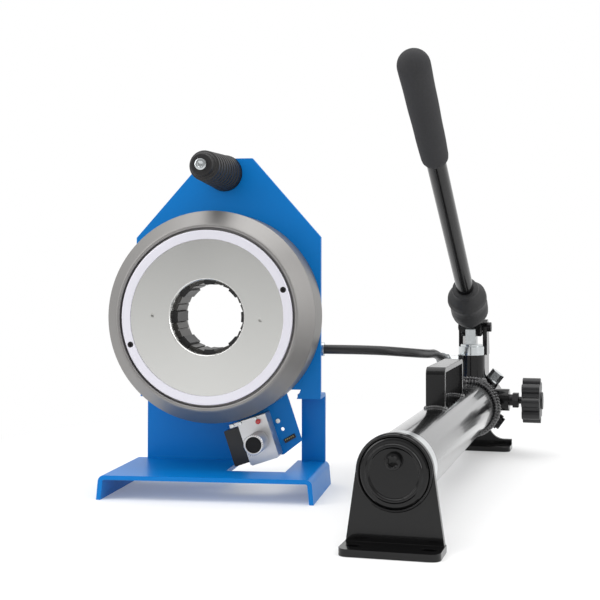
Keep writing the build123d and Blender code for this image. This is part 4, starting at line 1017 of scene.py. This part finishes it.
# ---------------------------------------------------------------- the pump
@dataclass(frozen=True)
class Pump:
    """The pump's tank, block and feet, in millimetres along the tank from the front foot."""

    axes: Axes
    cap: Profile = ((7, 0), (7, 32.95), (-1.6, 32.95), (-2.9, 31), (-2.9, 27.6),
                    (-4.4, 26.6), (-4.4, 24.4), (-3.0, 23.2), (-2.4, 0))
    cap_corner: float = 0.7
    rim: Profile = ((0.4, 33.1), (-2.2, 33.6), (-2.6, 34.6), (-2.2, 35.6), (0.4, 36.6))
    rim_corner: float = 0.9
    filler_height: float = 11.6
    filler_station: float = -2.4
    filler_size: tuple[float, float] = (8.1, 6.4)
    filler_socket: tuple[float, float] = (4.4, 4.2)
    enamel_edge: float = 0.5 * MM
    knob_edge: float = 1.6 * MM
    knob_angle: float = 50.0

    def build(self, finishes: Finishes) -> None:
        """Makes the front end's pieces and dresses the rest of the pump.

        Args:
            finishes: The machine's finishes.
        """
        dress(finishes.black_oxide, "fulcrum_pin", "piston_pin", "release_gland",
              "release_stem", bevel=SMALL_EDGE)
        dress(finishes.zinc, "cylinder_gland", "rear_foot_bolts", "pump_piston",
              "relief_plug", "outlet_fitting", bevel=FINE_EDGE)
        dress(finishes.plastic, "release_knob", bevel=self.knob_edge, angle=self.knob_angle)
        dress(finishes.black_enamel, "front_foot", "carry_handle", "pump_block", "rear_foot",
              "lever_yoke", "lever_tube", "drain_plug", bevel=self.enamel_edge)
        dress(finishes.tank_steel, "tank_tube", bevel=0.0)
        dress(finishes.collar_steel, "tank_collar", bevel=SMALL_EDGE)
        self.make_front(finishes)

    def make_front(self, finishes: Finishes) -> None:
        """The end cap with its raised ring, the foot's rim and the filler plug.

        Args:
            finishes: The machine's finishes.
        """
        outline = MM * rounded(self.cap, self.cap_corner)
        disc = turned("tank_end_disc", self.axes, outline, segments=192)
        placed(disc, finishes.black_enamel, "machine", "black_paint", "tank_end_cap")
        outline = MM * rounded(self.rim, self.rim_corner, closed=True)
        rim = turned("foot_rim", self.axes, outline, segments=192, closed=True)
        placed(rim, finishes.black_enamel, "machine", "black_paint")
        seat = self.axes.moved(self.filler_height * MM, 0.0, self.filler_station * MM)
        facing = axes_along(seat.origin, -self.axes.z, self.axes.x)
        radius, height = np.array(self.filler_size) * MM
        socket, depth = np.array(self.filler_socket) * MM
        plug = socket_head("filler_screw", facing, radius, height, socket, depth)
        placed(plug, finishes.black_enamel, "machine", "black_plastic", "filler_plug")


@dataclass(frozen=True)
class Pass:
    """One pass of weld round the tank's end: its place and size in millimetres."""

    station: float
    radius: float
    size: float
    ripples: int


@dataclass(frozen=True)
class Welds:
    """The pump's welds, in millimetres along the tank from the front foot."""

    axes: Axes
    passes: tuple[Pass, ...] = (Pass(494.4, 35.8, 2.9, 58), Pass(498.4, 38.4, 3.0, 62),
                                Pass(503.0, 38.4, 3.0, 60))
    depth: float = 0.3
    tower_front: float = 512.0
    tower_rear: float = 556.0
    tower_half: float = 19.0
    tower_gap: float = 1.8
    tuck: float = 0.35
    lowest: float = 35.2
    tower_bead: float = 2.7
    tower_ripples: int = 46
    tower_height: float = 80.0
    weld_end: float = 508.0
    weld_seat: float = 40.6
    block_seat: float = 37.2
    handle_feet: tuple[float, float] = (221.0, 353.0)
    foot_half: tuple[float, float] = (11.0, 3.0)
    foot_corner: float = 2.0
    foot_seat: float = 33.9
    foot_bead: float = 2.1
    foot_ripples: int = 20
    foot_depth: float = 0.28

    def build(self, finishes: Finishes) -> None:
        """Makes every weld.

        Args:
            finishes: The machine's finishes.
        """
        self.make_tank_weld(finishes)
        self.make_tower_weld(finishes)
        self.make_handle_welds(finishes)

    def make_tank_weld(self, finishes: Finishes) -> None:
        """The passes round the tank's end, which keep in front of the tower at the top.

        Args:
            finishes: The machine's finishes.
        """
        turn = np.linspace(0, FULL_TURN, 960, endpoint=False)
        outward = self.axes.place(np.cos(turn), np.sin(turn), 0 * turn) - self.axes.origin
        beads = []
        for number, run in enumerate(self.passes):
            wander = 0.35 * np.sin(5 * turn + number) + 0.25 * np.sin(11 * turn + 2 * number)
            side = run.radius * np.sin(turn)
            reach = np.sqrt(np.maximum(self.tower_half ** 2 - side ** 2, 0.0))
            ahead = self.tower_front - reach - self.tower_gap
            at_tower = (np.cos(turn) > 0) & (np.abs(side) < self.tower_half)
            line = np.where(at_tower, np.minimum(run.station, ahead), run.station)
            radius = np.maximum(run.radius - self.tuck * (run.station - line), self.lowest)
            path = self.axes.place(radius * MM * np.cos(turn), radius * MM * np.sin(turn),
                                   (line + wander) * MM)
            beads.append(bead("pass", path, outward, run.size * MM, run.ripples, self.depth))
        placed(joined("tank_weld", beads), finishes.weld, "machine", "black_paint")

    def make_tower_weld(self, finishes: Finishes) -> None:
        """The bead round the tower's foot, over the tank's weld in front.

        Args:
            finishes: The machine's finishes.
        """
        front, rear, half = self.tower_front, self.tower_rear, self.tower_half
        quarter = np.linspace(-math.pi / 2, math.pi / 2, 160)
        way = np.linspace(0, 1, 90)[1:-1]
        outline = np.vstack([
            np.column_stack([front - half * np.cos(quarter), half * np.sin(quarter)]),
            np.column_stack([front + (rear - front) * way, half + 0 * way]),
            np.column_stack([rear + half * np.cos(quarter), -half * np.sin(quarter)]),
            np.column_stack([rear - (rear - front) * way, -half + 0 * way])])
        station, side = outline[:, 0], outline[:, 1]
        seat = np.where(station < self.weld_end, self.weld_seat, self.block_seat)
        lift = np.sqrt(np.maximum(seat ** 2 - side ** 2, 1.0))
        path = self.axes.place(lift * MM, side * MM, station * MM)
        middle = self.axes.moved(self.tower_height * MM, 0.0, (front + rear) / 2 * MM).origin
        tower = bead("tower_weld", path, path - middle, self.tower_bead * MM,
                     self.tower_ripples, self.depth)
        placed(tower, finishes.weld, "machine", "black_paint")

    def make_handle_welds(self, finishes: Finishes) -> None:
        """The bead round each foot of the carrying handle.

        Args:
            finishes: The machine's finishes.
        """
        wide, long = self.foot_half
        corners = rounded([(-wide, -long), (wide, -long), (wide, long), (-wide, long)],
                          self.foot_corner, 6, True)
        loop = np.vstack([corners, corners[:1]])
        steps = np.linalg.norm(np.diff(loop, axis=0), axis=1)
        gone = np.concatenate([[0], np.cumsum(steps)])
        even = np.linspace(0, gone[-1], 360, endpoint=False)
        side, along = (np.interp(even, gone, loop[:, axis]) for axis in (0, 1))
        lift = np.sqrt(self.foot_seat ** 2 - side ** 2)
        beads = []
        for station in self.handle_feet:
            path = self.axes.place(lift * MM, side * MM, (station + along) * MM)
            outward = path - self.axes.moved(0.0, 0.0, station * MM).origin
            beads.append(bead("foot_bead", path, outward, self.foot_bead * MM,
                              self.foot_ripples, self.foot_depth))
        placed(joined("handle_welds", beads), finishes.weld, "machine", "black_paint")


@dataclass(frozen=True)
class Lever:
    """The lever's boot and foam, in millimetres along the lever from its fulcrum."""

    axes: Axes
    boot: Profile = ((42, 16.4), (42.4, 23.8), (45, 25.4), (50, 26.4), (57, 26.2), (64, 25.0),
                     (71, 25.2), (78, 26.4), (84, 25.2), (90, 21.2), (95, 17.8), (98, 17),
                     (99.5, 17.6), (103.4, 17.4), (104, 12.0))
    boot_bore: Profile = ((104.0, 11.5), (90.0, 11.5), (88.0, 16.05), (45.0, 16.05))
    skirt_top: float = 60.0
    skirt_length: float = 18.0
    foam_root: Profile = ((375, 11.45), (375, 12.6), (376.2, 13.9), (379, 15.3))
    foam_start: float = 383.0
    foam_start_radius: float = 16.0
    dome_start: float = 527.4
    dome_radius: float = 17.6
    dome_length: float = 17.55

    def build(self, finishes: Finishes) -> None:
        """Makes the boot and the foam sleeve."""
        self.make_boot(finishes)
        self.make_foam(finishes)

    def make_boot(self, finishes: Finishes) -> None:
        """The rubber boot: a soft bellied tube, a little uneven, with a wavy lower edge.

        Args:
            finishes: The machine's finishes.
        """
        stations, radii = np.array(self.boot, float).T
        even = np.linspace(stations[0], stations[-1], 200)
        smooth = np.interp(even, stations, radii)
        kernel = np.hanning(9) / np.hanning(9).sum()
        middle = np.convolve(np.pad(smooth, 4, mode="edge"), kernel, "valid")
        turn = np.linspace(0, FULL_TURN, 192, endpoint=False)[None, :]
        station = even[:, None]
        low = np.clip((self.skirt_top - station) / self.skirt_length, 0, 1)
        radius = middle[:, None] * (1 + 0.022 * np.sin(2 * turn + 0.09 * station)
                                    + 0.012 * np.sin(5 * turn + 0.2 * station))
        shift = station - low * (3.4 - 3.0 * np.cos(turn) + 1.0 * np.sin(3 * turn + 0.5)
                                 + 0.6 * np.sin(7 * turn))
        outer = self.axes.place(radius * np.cos(turn) * MM, radius * np.sin(turn) * MM,
                                shift * MM)
        inner = [self.axes.place(bore * np.cos(turn) * MM, bore * np.sin(turn) * MM,
                                 place * MM + 0 * turn) for place, bore in self.boot_bore]
        boot = surface("lever_boot", np.vstack([outer] + inner), close_rows=True, sharp=50.0)
        placed(boot, finishes.boot_rubber, "lever", "boot_rubber", "rubber_boot")

    def make_foam(self, finishes: Finishes) -> None:
        """The foam sleeve: it thickens towards a domed end, with faint ripples.

        Args:
            finishes: The machine's finishes.
        """
        start, end = self.foam_start, self.dome_start
        body = np.linspace(start, end, 60)
        growth = (self.dome_radius - self.foam_start_radius) * ((body - start)
                                                                / (end - start)) ** 0.8
        ripple = 0.12 * np.sin(body / 9.0)
        sleeve = np.column_stack([body, self.foam_start_radius + growth + ripple])
        bend = np.linspace(0, math.pi / 2, 26)[1:]
        dome = np.column_stack([end + self.dome_length * np.sin(bend),
                                self.dome_radius * np.cos(bend)])
        foam = turned("foam_sleeve", self.axes, MM * np.vstack([self.foam_root, sleeve, dome]),
                      segments=128)
        placed(foam, finishes.foam, "lever", "foam", "foam_grip")


# ---------------------------------------------------------------- studio and camera
@dataclass(frozen=True)
class Lamp:
    """A soft box: its place, what it faces, its width and height, and its watts."""

    name: str
    place: tuple[float, float, float]
    target: tuple[float, float, float]
    size: tuple[float, float]
    power: float

    def build(self) -> None:
        """Hangs the lamp and turns it to its target."""
        data = bpy.data.lights.new(self.name, "AREA")
        data.shape = "RECTANGLE"
        data.size, data.size_y = self.size
        data.energy = self.power
        lamp = bpy.data.objects.new(self.name, data)
        bpy.context.scene.collection.objects.link(lamp)
        back = axes_along(self.place, np.subtract(self.place, self.target), (0, 0, 1))
        turn = np.column_stack([back.y, back.x, back.z])
        turn[:, 0] *= np.sign(np.linalg.det(turn))
        matrix = np.eye(4)
        matrix[:3, :3], matrix[:3, 3] = turn, self.place
        lamp.matrix_world = Matrix(matrix.tolist())


@dataclass(frozen=True)
class Studio:
    """The plain pale floor, the soft lamps, the surroundings and the camera, in metres."""

    floor_size: float = 80.0
    floor_drop: float = 0.02 * MM
    floor_tone: float = 0.9
    fade_from: float = 0.3
    fade_to: float = 0.62
    fade_low: float = 0.18
    front_level: float = 0.24
    ceiling_level: float = 0.35
    fill_level: float = 0.75
    lamps: tuple[Lamp, ...] = (
        Lamp("overhead_box", (0.1, -0.1, 1.9), (0.1, 0.1, 0.0), (2.4, 2.0), 24.0),
        Lamp("left_box", (-1.6, -1.0, 1.1), (0.0, 0.0, 0.15), (0.8, 1.6), 14.0),
        Lamp("right_box", (1.7, -0.5, 1.0), (0.1, 0.0, 0.2), (0.5, 1.6), 10.0))
    camera_place: tuple[float, float, float] = (0.191864, -1.238967, 0.252372)
    camera_yaw: float = 0.119
    camera_up: float = 0.026
    lens: float = 62.06
    shift: tuple[float, float] = (-0.12, -0.0833)

    def build(self) -> None:
        """Makes everything round the machine."""
        self.make_floor()
        self.make_world()
        for lamp in self.lamps:
            lamp.build()
        self.make_camera()
        bpy.context.scene.view_settings.view_transform = "Standard"

    def make_floor(self) -> None:
        """A wide pale floor that keeps the machine's shadow and fades into white."""
        side = np.array([-0.5, 0.5]) * self.floor_size
        grid = np.stack([*np.meshgrid(side, side), np.full((2, 2), -self.floor_drop)], axis=-1)
        floor = surface("studio_floor", grid, close_columns=False)
        material = bpy.data.materials.new("studio_floor_paint")
        material.use_nodes = True
        material.node_tree.nodes.clear()
        graph = Graph(material.node_tree)
        place = graph.add("TexCoord").outputs["Object"]
        tone = graph.spread(graph.noise(place, 3.0, 2.0), self.floor_tone - 0.01,
                            self.floor_tone)
        plain = graph.add("BsdfDiffuse", {"Color": tone, "Roughness": 0.0})
        paper = graph.add("Emission", {"Strength": 1.0})
        reach = graph.vector("LENGTH", graph.vector("MULTIPLY", place, (1.0, 0.75, 1.0)),
                             (0, 0, 0), "Value")
        fade = graph.add("MapRange", {"Value": reach, "From Min": self.fade_from,
                                      "From Max": self.fade_to, "To Min": self.fade_low,
                                      "To Max": 1.0}, interpolation_type="SMOOTHSTEP")
        both = graph.add("MixShader", {"Fac": fade.outputs[0], 1: plain.outputs[0],
                                       2: paper.outputs[0]})
        graph.add("OutputMaterial", {"Surface": both.outputs[0]})
        floor.data.materials.append(material)

    def make_world(self) -> None:
        """White behind the machine, a dimmer room in front of it and a light ceiling."""
        world = bpy.data.worlds.new("studio")
        bpy.context.scene.world = world
        world.use_nodes = True
        world.node_tree.nodes.clear()
        graph = Graph(world.node_tree)
        way = graph.add("SeparateXYZ", {0: graph.add("TexCoord").outputs["Generated"]})
        behind = graph.add("MapRange", {"Value": way.outputs["Y"], "From Min": -0.5,
                                        "From Max": 0.9, "To Min": self.front_level,
                                        "To Max": 1.0})
        above = graph.add("MapRange", {"Value": way.outputs["Z"], "From Min": -0.1,
                                       "From Max": 0.8, "To Min": 0.0,
                                       "To Max": self.ceiling_level})
        room = graph.math("ADD", behind.outputs[0], above.outputs[0])
        room = graph.math("MINIMUM", room, 1.0)
        ray = graph.add("LightPath")
        level = graph.add("Mix", {"Factor": ray.outputs["Is Camera Ray"], "A": room, "B": 1.0},
                          data_type="FLOAT")
        dimmer = graph.add("Mix", {"Factor": ray.outputs["Is Diffuse Ray"],
                                   "A": level.outputs[0], "B": self.fill_level},
                           data_type="FLOAT")
        back = graph.add("Background", {"Color": (1, 1, 1, 1), "Strength": dimmer.outputs[0]})
        graph.add("OutputWorld", {"Surface": back.outputs[0]})

    def make_camera(self) -> None:
        """The camera, a little right of the machine's middle and turned to its left."""
        data = bpy.data.cameras.new("camera")
        data.lens = self.lens
        data.sensor_width = 36.0
        data.shift_x, data.shift_y = self.shift
        camera = bpy.data.objects.new("camera", data)
        camera.location = self.camera_place
        camera.rotation_euler = (math.pi / 2 + self.camera_up, 0.0, self.camera_yaw)
        bpy.context.scene.collection.objects.link(camera)
        bpy.context.scene.camera = camera


# ---------------------------------------------------------------- the whole machine
def joint(name: str) -> dict:
    """A joint of the frame by its name."""
    return next(entry for entry in frame["joints"] if entry["name"] == name)


def head_axes() -> Axes:
    """The crimp axis from the base's front edge, its z towards the rear.

    Returns:
        The head's frame.
    """
    low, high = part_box("head_housing")
    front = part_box("base_frame")[0].y
    return axes_along(((low.x + high.x) / 2, front, (low.z + high.z) / 2), (0, 1, 0), UP)


def carry_grip(head: Axes) -> CarryGrip:
    """The carrying grip on its own axis, from its front face to the back plate.

    Args:
        head: The head's frame.

    Returns:
        The carrying grip.
    """
    low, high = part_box("carry_grip")
    front = head.origin[1]
    axes = axes_along(((low.x + high.x) / 2, front, (low.z + high.z) / 2), (0, 1, 0), UP)
    return CarryGrip(axes, low.y - front, high.y - front)


def control_axes(head: Axes, tilt: float = math.radians(18.5)) -> Axes:
    """The control unit's frame: x across, y outwards and down at a tilt, z forward.

    Args:
        head: The head's frame.
        tilt: The unit's tilt in radians.

    Returns:
        The control unit's frame.
    """
    across = np.array((math.cos(tilt), 0, math.sin(tilt)))
    outwards = np.array((math.sin(tilt), 0, -math.cos(tilt)))
    return Axes(head.origin, across, outwards, np.array((0.0, -1.0, 0.0)))


def pump_axes(fulcrum_station: float = 536.81 * MM, tank_height: float = 71.5 * MM) -> Axes:
    """The tank's axis from the front foot, its x up and its y to the tank's right.

    Args:
        fulcrum_station: Station of the lever's fulcrum along the tank.
        tank_height: Height of the tank's axis.

    Returns:
        The pump's frame.
    """
    lever = joint("pump_lever")
    along = np.cross(UP, np.array(lever["axis"], float))
    start = np.array(lever["pos_m"], float) - along * fulcrum_station
    start[2] = tank_height
    return axes_along(start, along, UP)


def lever_axes(pump: Axes, lean: float = math.radians(57.0)) -> Axes:
    """The lever's axis from its fulcrum, leaning towards the tank's front.

    Args:
        pump: The pump's frame.
        lean: The lever's lean in radians.

    Returns:
        The lever's frame.
    """
    fulcrum = joint("pump_lever")
    direction = -pump.z * math.sin(lean) + np.array(UP) * math.cos(lean)
    return axes_along(fulcrum["pos_m"], direction, fulcrum["axis"])


def main() -> None:
    """Builds the machine's looks, then the studio."""
    logging.basicConfig(level=logging.INFO, format="%(message)s")
    head, pump = head_axes(), pump_axes()
    finishes = Finishes(head, pump)
    assemblies = (Hose(), Stand(), Head(head), carry_grip(head), Pump(pump), Welds(pump),
                  Lever(lever_axes(pump)), ControlUnit(control_axes(head)))
    for assembly in assemblies:
        assembly.build(finishes)
    Studio().build()


if __name__ == "__main__":
    main()
